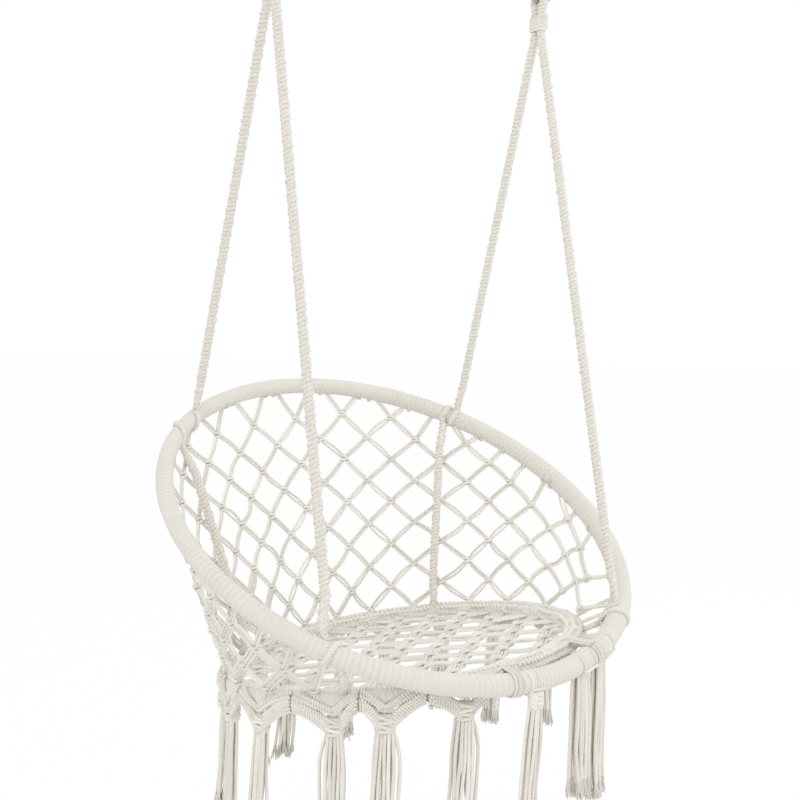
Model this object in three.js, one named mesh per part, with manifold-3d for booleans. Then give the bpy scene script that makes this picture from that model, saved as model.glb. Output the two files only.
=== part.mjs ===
// Hanging net chair: two wrapped steel hoops joined by a knotted cotton net,
// carried by one folded rope on each side through a steel ring.
// Units are millimetres, +Z is up and the sitter faces -Y.
// The origin is midway between the two points where the hooks bear.
import * as THREE from 'three';

// Rings and ropes
const ringOuterDiameter = 70;
const ringWire = 8;
const ringSpan = 505.6;
const ropeDiameter = 16;
const gatherHeight = 24;
const gatherBand = 4;
const gatherBelowWire = 50;

// Hoops
const backHoopDiameter = 770;
const seatHoopDiameter = 562;
const tubeDiameter = 19;
const tubeWall = 1.2;
const backWrapRadius = 15.2;
const backWrapSwell = 1.9;
const seatWrapRadius = 14;
const buttGap = 1.6;
const backHoopSteps = 44;
const seatHoopSteps = 36;

// How the chair hangs
const seatDrop = 1144;
const seatForward = 17;
const hoopFrontAhead = 30.8;
const hoopFrontBelow = 6.6;
const hoopTilt = THREE.MathUtils.degToRad(30.7);
const seatRecline = THREE.MathUtils.degToRad(5.9);
const seatLean = THREE.MathUtils.degToRad(7.1);
const swellAngle = -45;

// Net
const strapThickness = 4.6;
const knotHeight = 13;
const knotWidth = 13;
const endShare = 0.3;
const meetingShare = 0.8;
const shortestStrapLength = 7;
const rowPitchFront = 36.5;
const rowPitchBack = 41;
const seatKnotPitch = 41;

// Skirt and tassels
const tasselLength = 215;
const tasselHeadDrop = 36;
const headHeight = 20;
const headRadius = 12;
const strandThickness = 6.6;
const strandSpread = 8;
const bandThickness = 5;
const bandDepth = 10;
const bandMarginDegrees = 1.2;
const lashingCord = 6;
const headTopShare = 0.6;
const strandSetShare = 0.53;
const strandOutShare = 0.7;
const bandFootShare = 0.45;
const neckWidth = 12;
const neckShare = 0.55;

// Clearances
const restGap = 0.3;
const cordGap = 1.5;
const lashingSlack = 0.8;

// How far knots and straps go into a sleeve before it cuts them to its own shape
const knotSetDepth = 1;
const strapSetDepth = 3;
const neckSetDepth = 1.5;

// Lengths of hoop kept free of net beside a rope and a lashing, and of the rim beside a knot
const hitchReachShare = 1.75;
const lashingReachShare = 2;
const rimKnotShare = 1.6;

// Facets
const ringSteps = 20;
const ringSides = 8;
const tubeSides = 8;
const boreSides = 6;
const wrapSides = 10;
const ropeSides = 8;
const ropeStepShare = 3;
const turnSteps = 12;
const seatTurnStepsLeft = 3;
const bightSteps = 6;
const gatherHalfSteps = 8;
const headSides = 6;
const lashingSides = 5;
const lashingBigSteps = 12;
const lashingSmallSteps = 8;
const fineSteps = 60;

// Chosen angles, in degrees, counted from the right (+X) towards the back (+Y)
const backHitchDegrees = [47.5, 132.5];
const frontHitchDegrees = [-47.1, 227.1];
const backSeatHitchDegrees = [44, 136];
const frontSeatDegrees = [-40, 220];
const lashingDegrees = [-91.5, -65.5];
const tasselDegrees = [-4, 22, 43, 63, 83, 103.5, 119.5, 136, 154, 172, 190.5, 216.5, 233.5, 254.5];
const bandlessTassels = [2, 7];
const hoopTasselDegrees = [-84.5, -70.5, -61];

// The net's columns: angle on the seat hoop for every second column
const firstColumn = -11;
const lastColumn = 20;
const columnOnHoopStart = 72;
const columnOnHoopStep = 7.45;
const seatColumnDegrees = [-52, -27, -5, 15.5, 32, 54, 70, 83, 96, 106, 116, 128, 142, 158, 175, 193, 212];
const firstSeatColumn = -12;
const columnsPerAngle = 2;
const seatRow = 10;
const pitchFromColumn = -4;
const pitchToColumn = 1;
const panelColumns = [-11, -7, -2, 3, 8, 12, 16, 21];

const backHoopRadius = backHoopDiameter / 2;
const seatHoopRadius = seatHoopDiameter / 2;
const backHoopSag = backHoopRadius * (1 - Math.cos(Math.PI / backHoopSteps));
const seatHoopSag = seatHoopRadius * (1 - Math.cos(Math.PI / seatHoopSteps));
const ropeRadius = ropeDiameter / 2;
const ringRadius = (ringOuterDiameter - ringWire) / 2;
const wireZ = ringWire / 2 - ringRadius * 2;
const ringZ = ringWire / 2 - ringRadius;
const tubeRadius = tubeDiameter / 2;
const tubeBore = tubeRadius - tubeWall;
const seatCentre = new THREE.Vector3(0, -seatForward, -seatDrop);
const hoopBack = new THREE.Vector3(0, Math.cos(hoopTilt), Math.sin(hoopTilt));
const hoopUp = new THREE.Vector3(0, -Math.sin(hoopTilt), Math.cos(hoopTilt));
const sideways = new THREE.Vector3(1, 0, 0);
const backward = new THREE.Vector3(0, 1, 0);
const upward = new THREE.Vector3(0, 0, 1);
const seatSide = new THREE.Vector3(Math.cos(seatLean), 0, Math.sin(seatLean));
const seatUp = new THREE.Vector3().crossVectors(
  seatSide,
  new THREE.Vector3(0, Math.cos(seatRecline), -Math.sin(seatRecline)),
).normalize();
const seatBack = new THREE.Vector3().crossVectors(seatUp, seatSide);
const seatFront = seatCentre.clone().addScaledVector(seatBack, -seatHoopRadius);
const hoopFront = new THREE.Vector3(0, seatFront.y - hoopFrontAhead, seatFront.z - hoopFrontBelow);
const hoopCentre = hoopFront.clone().addScaledVector(hoopBack, backHoopRadius);

const group = new THREE.Group();

const cottonColour = 0xdcd7cc;
const wrapColour = 0xdfdbcf;
const steelColour = 0x9a9a9c;
const tubeColour = 0x77787a;

function cotton(colour) {
  return new THREE.MeshStandardMaterial({ color: colour, roughness: 0.95, metalness: 0 });
}

function steel(colour) {
  return new THREE.MeshStandardMaterial({ color: colour, roughness: 0.35, metalness: 1 });
}

function radians(degrees) {
  return THREE.MathUtils.degToRad(degrees);
}

// Adds one closed body, given as points and triangles, to the group.
function addBody(name, body, material) {
  const geometry = new THREE.BufferGeometry();
  const positions = new Float32Array(body.points.length * 3);
  body.points.forEach((point, index) => point.toArray(positions, index * 3));
  geometry.setAttribute('position', new THREE.BufferAttribute(positions, 3));
  geometry.setIndex(body.faces.flat());
  geometry.computeVertexNormals();
  const mesh = new THREE.Mesh(geometry, material);
  mesh.name = name;
  group.add(mesh);
}

// Joins rings of points into a skin. A closed skin meets its own start.
function skin(body, rings, closed, inward) {
  const start = body.points.length;
  const sides = rings[0].length;
  rings.forEach((ring) => body.points.push(...ring));
  const spans = closed ? rings.length : rings.length - 1;
  for (let span = 0; span < spans; span += 1) {
    const next = (span + 1) % rings.length;
    for (let side = 0; side < sides; side += 1) {
      const turn = (side + 1) % sides;
      const a = start + span * sides + side;
      const b = start + span * sides + turn;
      const c = start + next * sides + turn;
      const d = start + next * sides + side;
      addFace(body, [a, b, c], inward);
      addFace(body, [a, c, d], inward);
    }
  }
  return start;
}

function addFace(body, face, flip) {
  body.faces.push(flip ? [face[0], face[2], face[1]] : face);
}

// A solid bar through the given rings, capped at both ends.
function solidBar(rings) {
  const body = { points: [], faces: [] };
  const sides = rings[0].length;
  const start = skin(body, rings, false, false);
  const last = start + (rings.length - 1) * sides;
  for (let side = 1; side < sides - 1; side += 1) {
    body.faces.push([start, start + side + 1, start + side]);
    body.faces.push([last, last + side, last + side + 1]);
  }
  return body;
}

// A bar that closes on itself.
function closedBar(rings) {
  const body = { points: [], faces: [] };
  skin(body, rings, true, false);
  return body;
}

// A pipe whose two ends are open, with a flat rim at each end.
function openPipe(outerRings, innerRings) {
  const body = { points: [], faces: [] };
  const outer = skin(body, outerRings, false, false);
  const inner = skin(body, innerRings, false, true);
  const outerSides = outerRings[0].length;
  const innerSides = innerRings[0].length;
  rim(body, outer, outerSides, inner, innerSides, true);
  const outerEnd = outer + (outerRings.length - 1) * outerSides;
  const innerEnd = inner + (innerRings.length - 1) * innerSides;
  rim(body, outerEnd, outerSides, innerEnd, innerSides, false);
  return body;
}

// Fills the flat rim between an outer and an inner ring of equal or unequal count.
function rim(body, outer, outerSides, inner, innerSides, flip) {
  let i = 0;
  let j = 0;
  while (i < outerSides || j < innerSides) {
    const takeOuter = j >= innerSides || (i < outerSides && (i + 1) * innerSides <= (j + 1) * outerSides);
    const o = outer + (i % outerSides);
    const n = inner + (j % innerSides);
    if (takeOuter) {
      addFace(body, [o, outer + ((i + 1) % outerSides), n], flip);
      i += 1;
    } else {
      addFace(body, [o, inner + ((j + 1) % innerSides), n], flip);
      j += 1;
    }
  }
}

// One ring of points around a centre; it turns from the first axis to the second.
function section(centre, first, second, radius, sides) {
  const ring = [];
  for (let side = 0; side < sides; side += 1) {
    const angle = (side + 0.5) / sides * Math.PI * 2;
    ring.push(centre.clone()
      .addScaledVector(first, Math.cos(angle) * radius)
      .addScaledVector(second, Math.sin(angle) * radius));
  }
  return ring;
}

// Sections along a path, with axes carried along it so that the bar doesn't twist.
function sectionsAlong(path, radius, sides, startAxis) {
  const rings = [];
  let first = startAxis.clone();
  path.forEach((point, index) => {
    const before = path[Math.max(index - 1, 0)];
    const after = path[Math.min(index + 1, path.length - 1)];
    const along = after.clone().sub(before).normalize();
    first = first.clone().addScaledVector(along, -first.dot(along)).normalize();
    const second = new THREE.Vector3().crossVectors(along, first);
    rings.push(section(point, first, second, radius, sides));
  });
  return rings;
}

function hoopPoint(degrees) {
  const angle = radians(degrees);
  return hoopCentre.clone()
    .addScaledVector(sideways, Math.cos(angle) * backHoopRadius)
    .addScaledVector(hoopBack, Math.sin(angle) * backHoopRadius);
}

function hoopOutward(degrees) {
  const angle = radians(degrees);
  return sideways.clone().multiplyScalar(Math.cos(angle)).addScaledVector(hoopBack, Math.sin(angle));
}

function seatPoint(degrees) {
  return seatCentre.clone().addScaledVector(seatOutward(degrees), seatHoopRadius);
}

function seatOutward(degrees) {
  const angle = radians(degrees);
  return seatSide.clone().multiplyScalar(Math.cos(angle)).addScaledVector(seatBack, Math.sin(angle));
}

function backWrapAt(degrees) {
  return backWrapRadius + backWrapSwell * Math.cos(radians(degrees - swellAngle));
}

// Steel rings
function buildHangingRing(name, side) {
  const centre = new THREE.Vector3(side * ringSpan / 2, 0, ringZ);
  const rings = [];
  for (let step = 0; step < ringSteps; step += 1) {
    const angle = step / ringSteps * Math.PI * 2;
    const outward = new THREE.Vector3(Math.cos(angle), 0, Math.sin(angle));
    const point = centre.clone().addScaledVector(outward, ringRadius);
    rings.push(section(point, backward, outward, ringWire / 2, ringSides).reverse());
  }
  addBody(name, closedBar(rings), steel(steelColour));
}

// Hoops: a bent steel tube and the wound cotton sleeve around it
function hoopSections(pointAt, outwardAt, up, radiusAt, sides, steps, radius) {
  const gapDegrees = THREE.MathUtils.radToDeg(buttGap / radius);
  const rings = [];
  for (let step = 0; step <= steps; step += 1) {
    const degrees = 90 + gapDegrees / 2 + (360 - gapDegrees) * step / steps;
    rings.push(section(pointAt(degrees), up, outwardAt(degrees), radiusAt(degrees), sides));
  }
  return rings;
}

// A solid ring a little larger than a hoop's sleeve, which trims what meets it
function sleeveCutter(wasm, hoop) {
  const { pointAt, outwardAt, up, wrapAt, radius, steps } = hoop;
  const cutterAt = (degrees) => wrapAt(degrees) + restGap;
  const rings = hoopSections(pointAt, outwardAt, up, cutterAt, wrapSides, steps, radius);
  return toManifold(wasm, closedBar(rings));
}

function buildHoop(name, hoop) {
  const { pointAt, outwardAt, up, wrapAt, radius, steps } = hoop;
  const wrapBore = tubeRadius + restGap;
  const layer = (size, sides) => hoopSections(pointAt, outwardAt, up, () => size, sides, steps, radius);
  const tube = openPipe(layer(tubeRadius, tubeSides), layer(tubeBore, boreSides));
  const sleeve = hoopSections(pointAt, outwardAt, up, wrapAt, wrapSides, steps, radius);
  addBody(name + '_tube', tube, steel(tubeColour));
  addBody(name + '_wrap', openPipe(sleeve, layer(wrapBore, tubeSides)), cotton(wrapColour));
}

// Rope wound around a hoop: from the inner side, under the hoop, and round to its top.
function turnAround(centre, outward, up, along, wrap) {
  const reach = wrap + ropeRadius + cordGap;
  const pitch = ropeDiameter + cordGap;
  const path = [];
  for (let step = 0; step <= turnSteps; step += 1) {
    const share = step / turnSteps;
    const angle = share * Math.PI * 2;
    path.push(centre.clone()
      .addScaledVector(outward, -Math.cos(angle) * reach)
      .addScaledVector(up, -Math.sin(angle) * reach)
      .addScaledVector(along, (share - 0.5) * pitch));
  }
  return path;
}

function alongHoop(degrees) {
  return hoopPoint(degrees + 0.5).sub(hoopPoint(degrees - 0.5)).normalize();
}

function alongSeat(degrees) {
  return seatPoint(degrees + 0.5).sub(seatPoint(degrees - 0.5)).normalize();
}

// Places points no farther apart than the step between two corners.
function span(from, to, step) {
  const count = Math.max(1, Math.ceil(from.distanceTo(to) / step));
  const points = [];
  for (let index = 1; index < count; index += 1) {
    points.push(from.clone().lerp(to, index / count));
  }
  return points;
}

function hoopTurn(degrees, way) {
  const along = alongHoop(degrees).multiplyScalar(way);
  return turnAround(hoopPoint(degrees), hoopOutward(degrees), hoopUp, along, backWrapAt(degrees));
}

function seatTurn(degrees, way) {
  const along = alongSeat(degrees).multiplyScalar(way);
  const turn = turnAround(seatPoint(degrees), seatOutward(degrees), seatUp, along, seatWrapRadius);
  return turn.slice(0, turn.length - seatTurnStepsLeft);
}

// Down from the steel ring, once around the back hoop, then once around the seat hoop
function backLeg(from, index, step) {
  const way = index === 0 ? -1 : 1;
  const upper = hoopTurn(backHitchDegrees[index], way);
  const lower = seatTurn(backSeatHitchDegrees[index], way);
  const last = upper[upper.length - 1];
  return [...span(from, upper[0], step), ...upper, ...span(last, lower[0], step), ...lower];
}

// Down from the steel ring, once around the back hoop and onto the seat hoop
function frontLeg(from, index, step) {
  const way = index === 0 ? -1 : 1;
  const upper = hoopTurn(frontHitchDegrees[index], way);
  const last = upper[upper.length - 1];
  const seat = seatPoint(frontSeatDegrees[index]);
  const towards = last.clone().sub(seat).normalize();
  const end = seat.addScaledVector(towards, seatWrapRadius + seatHoopSag + cordGap);
  return [...span(from, upper[0], step), ...upper, end];
}

// The rope on one side: up from the seat hoop at the back, through the steel ring
// and down to the seat hoop at the front. It gives back a slightly larger solid,
// which trims what meets the rope.
function buildSideRope(wasm, name, gatherName, side) {
  const index = side > 0 ? 0 : 1;
  const step = ropeDiameter * ropeStepShare;
  const x = side * ringSpan / 2;
  const legGap = ropeRadius + restGap;
  const wireReach = ringWire / 2 + ropeRadius + restGap;
  const gatherBottom = wireZ - gatherBelowWire;
  const gatherTop = gatherBottom + gatherHeight;
  const bight = [];
  for (let turn = 0; turn <= bightSteps; turn += 1) {
    const angle = turn / bightSteps * Math.PI;
    bight.push(new THREE.Vector3(x, Math.cos(angle) * wireReach, wireZ + Math.sin(angle) * wireReach));
  }
  const legTop = (sign) => new THREE.Vector3(x, sign * legGap, gatherTop + ropeRadius);
  const legBottom = (sign) => new THREE.Vector3(x, sign * legGap, gatherBottom - ropeRadius);
  const path = [
    ...backLeg(legBottom(1), index, step).reverse(),
    legBottom(1),
    legTop(1),
    ...bight,
    legTop(-1),
    legBottom(-1),
    ...frontLeg(legBottom(-1), index, step),
  ];
  const rope = (radius) => solidBar(sectionsAlong(path, radius, ropeSides, sideways));
  addBody(name, rope(ropeRadius), cotton(cottonColour));
  buildGather(gatherName, x, gatherBottom, gatherTop, legGap);
  return toManifold(wasm, rope(ropeRadius + restGap));
}

// The band wound around both legs of a rope below its ring
function buildGather(name, x, bottom, top, legGap) {
  const outline = (reach) => {
    const points = [];
    for (let half = 0; half < 2; half += 1) {
      const sign = half === 0 ? 1 : -1;
      for (let step = 0; step <= gatherHalfSteps; step += 1) {
        const angle = (step / gatherHalfSteps + half) * Math.PI;
        points.push([Math.cos(angle) * reach, Math.sin(angle) * reach + sign * legGap]);
      }
    }
    return points;
  };
  const loopAt = (reach, z) => outline(reach).map(([px, py]) => new THREE.Vector3(x + px, py, z));
  const inner = ropeRadius + restGap * 2;
  const outer = inner + gatherBand;
  const outerRings = [loopAt(outer, bottom), loopAt(outer, top)];
  const innerRings = [loopAt(inner, bottom), loopAt(inner, top)];
  addBody(name, openPipe(outerRings, innerRings), cotton(wrapColour));
}

// Net between the hoops
function columnOnSeat(column) {
  const place = (column - firstSeatColumn) / columnsPerAngle;
  const index = THREE.MathUtils.clamp(Math.floor(place), 0, seatColumnDegrees.length - 2);
  return THREE.MathUtils.lerp(seatColumnDegrees[index], seatColumnDegrees[index + 1], place - index);
}

function columnOnHoop(column) {
  return columnOnHoopStart + columnOnHoopStep * column;
}

function rowPitch(column) {
  const share = (column - pitchFromColumn) / (pitchToColumn - pitchFromColumn);
  return THREE.MathUtils.lerp(rowPitchFront, rowPitchBack, THREE.MathUtils.clamp(share, 0, 1));
}

// Whether a place on a hoop lies within a length, measured along the hoop, of any given place
function near(degrees, places, length, radius) {
  const reach = THREE.MathUtils.radToDeg(length / radius);
  return places.some((place) => Math.abs(place - degrees) < reach);
}

function columnLine(column) {
  const top = hoopPoint(columnOnHoop(column));
  const bottom = seatPoint(columnOnSeat(column));
  return { top, bottom, length: top.distanceTo(bottom) };
}

// How far a point is from where net may reach on the back hoop, and on the seat hoop:
// into a bare sleeve by the given set, but not as far as the rope or lashing on it
function hoopClearance(point, set) {
  const degrees = degreesAround(point, hoopCentre, sideways, hoopBack);
  const hitches = [...backHitchDegrees, ...frontHitchDegrees];
  const beside = near(degrees, hitches, ropeDiameter * hitchReachShare, backHoopRadius);
  const standOff = beside ? ropeDiameter + cordGap * 2 : -set;
  return point.distanceTo(hoopPoint(degrees)) - backWrapAt(degrees) - backHoopSag - standOff;
}

function seatClearance(point, set) {
  const degrees = nearestSeatDegrees(point);
  const besideRope = near(degrees, backSeatHitchDegrees, ropeDiameter * hitchReachShare, seatHoopRadius);
  const besideLashing = near(degrees, lashedSeatDegrees(), lashingCord * lashingReachShare, seatHoopRadius);
  let standOff = -set;
  if (besideLashing) {
    standOff = lashingCord + cordGap * 2;
  }
  if (besideRope) {
    standOff = ropeDiameter + cordGap * 2;
  }
  return point.distanceTo(seatPoint(degrees)) - seatWrapRadius - seatHoopSag - standOff;
}

// The angle of a point around a centre, from -90 to 270 degrees
function degreesAround(point, centre, side, back) {
  const offset = point.clone().sub(centre);
  const degrees = THREE.MathUtils.radToDeg(Math.atan2(offset.dot(back), offset.dot(side)));
  return degrees < -90 ? degrees + 360 : degrees;
}

function nearestSeatDegrees(point) {
  return degreesAround(point, seatCentre, seatSide, seatBack);
}

function lashedSeatDegrees() {
  return lashingDegrees.map((degrees) => nearestSeatDegrees(hoopPoint(degrees)));
}

function netPoint(column, distance) {
  const line = columnLine(column);
  return line.bottom.clone().lerp(line.top, distance / line.length);
}

function netNormal(column, distance) {
  const across = netPoint(column + 0.5, distance).sub(netPoint(column - 0.5, distance));
  const rise = netPoint(column, distance + knotHeight).sub(netPoint(column, distance - knotHeight));
  return new THREE.Vector3().crossVectors(rise, across).normalize();
}

function knotDistance(column, row) {
  return seatWrapRadius - knotSetDepth + knotHeight / 2 + (seatRow - row) * rowPitch(column);
}

function hasKnot(column, row) {
  if (column < firstColumn || column > lastColumn || row > seatRow) {
    return false;
  }
  const distance = knotDistance(column, row);
  const centre = netPoint(column, distance);
  const low = netPoint(column, distance - knotHeight / 2);
  const beyond = distance > columnLine(column).length;
  const seated = seatClearance(low, knotSetDepth + seatHoopSag + restGap) > 0;
  return !beyond && hoopClearance(centre, 0) > knotHeight && seated;
}

// The four corners of a knot on its inner face, then the four on its outer face
function knotCorners(centre, rise, across, normal) {
  const corners = [];
  [1, -1].forEach((face) => {
    const middle = centre.clone().addScaledVector(normal, face * strapThickness / 2);
    corners.push(middle.clone().addScaledVector(rise, knotHeight / 2));
    corners.push(middle.clone().addScaledVector(across, knotWidth / 2));
    corners.push(middle.clone().addScaledVector(rise, -knotHeight / 2));
    corners.push(middle.clone().addScaledVector(across, -knotWidth / 2));
  });
  return corners;
}

// A net is built from knots and straps that share their corners, so that each
// panel is one closed body. Each knot has four sides, and a strap leaves from each
// side that has a neighbour.
function newNet() {
  return { points: [], faces: [], knots: new Map() };
}

function addKnot(net, key, corners) {
  const start = net.points.length;
  net.points.push(...corners);
  net.knots.set(key, { start, used: [false, false, false, false] });
  net.faces.push([start, start + 1, start + 2], [start, start + 2, start + 3]);
  net.faces.push([start + 4, start + 6, start + 5], [start + 4, start + 7, start + 6]);
}

// Joins one side's edge pair to another edge pair: each is [inner a, inner b, outer a, outer b].
function addStrap(net, from, to) {
  const [a, b, c, d] = from;
  const [e, f, g, h] = to;
  net.faces.push([a, f, b], [a, e, f]);
  net.faces.push([c, h, g], [c, d, h]);
  net.faces.push([a, g, e], [a, c, g]);
  net.faces.push([b, h, d], [b, f, h]);
}

function sideEdge(net, key, side) {
  const { start } = net.knots.get(key);
  const first = start + side;
  const second = start + (side + 1) % 4;
  return [first, second, first + 4, second + 4];
}

function closeEnd(net, edge) {
  const [a, b, c, d] = edge;
  net.faces.push([a, d, b], [a, c, d]);
}

// A strap from a knot's side towards a point. It stops there, or sooner where its
// end has no more clearance.
function addFreeStrap(net, key, side, target, normal, clearance) {
  const edge = sideEdge(net, key, side);
  const width = net.points[edge[1]].clone().sub(net.points[edge[0]]).normalize();
  const from = new THREE.Vector3();
  edge.forEach((index) => from.addScaledVector(net.points[index], 1 / edge.length));
  const halfWidth = knotWidth * endShare;
  const cornersAt = (share) => {
    const corners = [];
    [1, -1].forEach((face) => {
      const middle = from.clone().lerp(target, share).addScaledVector(normal, face * strapThickness / 2);
      corners.push(middle.clone().addScaledVector(width, -halfWidth));
      corners.push(middle.clone().addScaledVector(width, halfWidth));
    });
    return corners;
  };
  let share = 0;
  for (let step = 1; step <= fineSteps; step += 1) {
    if (cornersAt(step / fineSteps).some((corner) => clearance(corner) < 0)) {
      break;
    }
    share = step / fineSteps;
  }
  if (from.distanceTo(target) * share < shortestStrapLength) {
    return;
  }
  endStrap(net, key, side, cornersAt(share));
}

function endStrap(net, key, side, corners) {
  const start = net.points.length;
  net.points.push(...corners);
  const end = [start, start + 1, start + 2, start + 3];
  addStrap(net, sideEdge(net, key, side), end);
  closeEnd(net, end);
  net.knots.get(key).used[side] = true;
}

// Closes the sides that no strap leaves from
function closeSides(net) {
  net.knots.forEach((knot, key) => {
    knot.used.forEach((used, side) => {
      if (!used) {
        closeEnd(net, sideEdge(net, key, side));
      }
    });
  });
}

// Sides of a knot: 0 up and across, 1 down and across, 2 down and back, 3 up and back
function joinKnots(net, lower, upper, lowerSide, upperSide) {
  const from = sideEdge(net, lower, lowerSide);
  const to = sideEdge(net, upper, upperSide);
  addStrap(net, from, [to[1], to[0], to[3], to[2]]);
  net.knots.get(lower).used[lowerSide] = true;
  net.knots.get(upper).used[upperSide] = true;
}

// The corners of the back net's knot at a column and row
function backKnotCorners(column, row) {
  const distance = knotDistance(column, row);
  const centre = netPoint(column, distance);
  const normal = netNormal(column, distance);
  const rise = netPoint(column, distance + knotHeight).sub(centre).normalize();
  const across = new THREE.Vector3().crossVectors(normal, rise).normalize();
  return knotCorners(centre, rise, across, normal);
}

// Adds a net, trimmed where it meets the sleeves
function addTrimmed(wasm, cutter, name, body) {
  addBody(name, fromManifold(toManifold(wasm, body).subtract(cutter)), cotton(cottonColour));
}

function backNetPanel(wasm, cutter, name, firstOfPanel, afterPanel) {
  const net = newNet();
  const inPanel = (column) => column >= firstOfPanel && column < afterPanel;
  const keyOf = (column, row) => column + ':' + row;
  for (let column = firstOfPanel; column < afterPanel; column += 1) {
    for (let row = seatRow; knotDistance(column, row) < columnLine(column).length; row -= 1) {
      if ((column + row) % 2 === 0 && hasKnot(column, row)) {
        addKnot(net, keyOf(column, row), backKnotCorners(column, row));
      }
    }
  }
  [...net.knots.keys()].forEach((key) => {
    const [column, row] = key.split(':').map(Number);
    [1, -1].forEach((step) => {
      const upSide = step > 0 ? 0 : 3;
      const downSide = step > 0 ? 1 : 2;
      backNetUp(net, column, row, step, upSide, inPanel, keyOf);
      backNetDown(net, column, row, step, downSide, inPanel, keyOf);
    });
  });
  closeSides(net);
  addTrimmed(wasm, cutter, name, net);
}

function backNetUp(net, column, row, step, side, inPanel, keyOf) {
  const key = keyOf(column, row);
  const next = column + step;
  if (hasKnot(next, row - 1)) {
    if (inPanel(next)) {
      joinKnots(net, key, keyOf(next, row - 1), side, side === 0 ? 2 : 1);
    } else if (step > 0) {
      bridgeStrap(net, key, side, next, row - 1, 2);
    }
    return;
  }
  if (next < firstColumn || next > lastColumn) {
    return;
  }
  const meeting = column + step * meetingShare;
  const target = netPoint(meeting, columnLine(meeting).length);
  const normal = netNormal(column, knotDistance(column, row));
  addFreeStrap(net, key, side, target, normal, (point) => hoopClearance(point, strapSetDepth));
}

function backNetDown(net, column, row, step, side, inPanel, keyOf) {
  const key = keyOf(column, row);
  const next = column + step;
  if (row >= seatRow || !hasKnot(next, row + 1)) {
    return;
  }
  if (!inPanel(next) && step > 0) {
    bridgeStrap(net, key, side, next, row + 1, 3);
  }
}

// A strap that crosses to the next panel and stops just short of a side of the knot there
function bridgeStrap(net, key, side, column, row, otherSide) {
  const corners = backKnotCorners(column, row);
  const first = otherSide;
  const second = (otherSide + 1) % 4;
  const ends = [corners[second], corners[first], corners[second + 4], corners[first + 4]];
  const edge = sideEdge(net, key, side);
  const back = net.points[edge[0]].clone().add(net.points[edge[3]]).sub(ends[0]).sub(ends[3]);
  back.normalize().multiplyScalar(restGap * 2);
  endStrap(net, key, side, ends.map((corner) => corner.add(back)));
}

// Flat net across the seat hoop
function buildSeatNet(wasm, cutter, name) {
  const net = newNet();
  const reach = seatHoopRadius - seatWrapRadius - seatHoopSag - cordGap;
  const across = seatSide;
  const rise = seatBack;
  const place = (i, j) => seatCentre.clone()
    .addScaledVector(across, i * seatKnotPitch)
    .addScaledVector(rise, j * seatKnotPitch);
  const inside = (i, j) => Math.hypot(i, j) * seatKnotPitch < reach - knotHeight * rimKnotShare;
  const limit = Math.ceil(reach / seatKnotPitch);
  const keyOf = (i, j) => i + ':' + j;
  for (let i = -limit; i <= limit; i += 1) {
    for (let j = -limit; j <= limit; j += 1) {
      if ((i + j) % 2 === 0 && inside(i, j)) {
        addKnot(net, keyOf(i, j), knotCorners(place(i, j), rise, across, seatUp.clone().negate()));
      }
    }
  }
  [...net.knots.keys()].forEach((key) => {
    const [i, j] = key.split(':').map(Number);
    [[1, 1, 0], [1, -1, 1], [-1, -1, 2], [-1, 1, 3]].forEach(([di, dj, side]) => {
      seatStrap(net, i, j, di, dj, side, place, keyOf);
    });
  });
  closeSides(net);
  addTrimmed(wasm, cutter, name, net);
}

function seatStrap(net, i, j, di, dj, side, place, keyOf) {
  const key = keyOf(i, j);
  const next = keyOf(i + di, j + dj);
  if (net.knots.has(next)) {
    if (dj > 0) {
      joinKnots(net, key, next, side, side === 0 ? 2 : 1);
    }
    return;
  }
  const meeting = place(i, j).lerp(place(i + di, j + dj), meetingShare).sub(seatCentre);
  const target = seatCentre.clone().addScaledVector(meeting.normalize(), seatHoopRadius);
  const clearance = (point) => seatClearance(point, strapSetDepth);
  addFreeStrap(net, key, side, target, seatUp.clone().negate(), clearance);
}

// Tassel: a knotted head under the seat hoop, a band up to the hoop on each side
// and cords hanging from the head.
function frustum(centre, first, second, levels, sides) {
  return solidBar(levels.map(([z, radius]) => section(
    centre.clone().addScaledVector(upward, z), first, second, radius, sides)));
}

function toManifold(wasm, body) {
  const vertProperties = new Float32Array(body.points.length * 3);
  body.points.forEach((point, index) => point.toArray(vertProperties, index * 3));
  const triVerts = Uint32Array.from(body.faces.flat());
  return new wasm.Manifold(new wasm.Mesh({ numProp: 3, vertProperties, triVerts }));
}

function fromManifold(solid) {
  const mesh = solid.getMesh();
  const points = [];
  for (let index = 0; index < mesh.vertProperties.length; index += mesh.numProp) {
    points.push(new THREE.Vector3().fromArray(mesh.vertProperties, index));
  }
  const faces = [];
  for (let index = 0; index < mesh.triVerts.length; index += 3) {
    faces.push([mesh.triVerts[index], mesh.triVerts[index + 1], mesh.triVerts[index + 2]]);
  }
  return { points, faces };
}

function flatBar(from, to, width, thickness, facing) {
  const along = to.clone().sub(from).normalize();
  const normal = facing.clone().addScaledVector(along, -facing.dot(along)).normalize();
  const side = new THREE.Vector3().crossVectors(along, normal);
  const ring = (point) => [[1, 1], [-1, 1], [-1, -1], [1, -1]].map(([s, n]) => point.clone()
    .addScaledVector(side, s * width / 2)
    .addScaledVector(normal, n * thickness / 2));
  return solidBar([ring(from), ring(to)].map((corners) => corners.reverse()));
}

function bandEnds(index) {
  const here = tasselDegrees[index];
  const before = index > 0 ? (here - tasselDegrees[index - 1]) / 2 : (tasselDegrees[1] - here) / 2;
  const after = index < tasselDegrees.length - 1 ? (tasselDegrees[index + 1] - here) / 2 : before;
  return [here - before + bandMarginDegrees, here + after - bandMarginDegrees];
}

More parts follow.
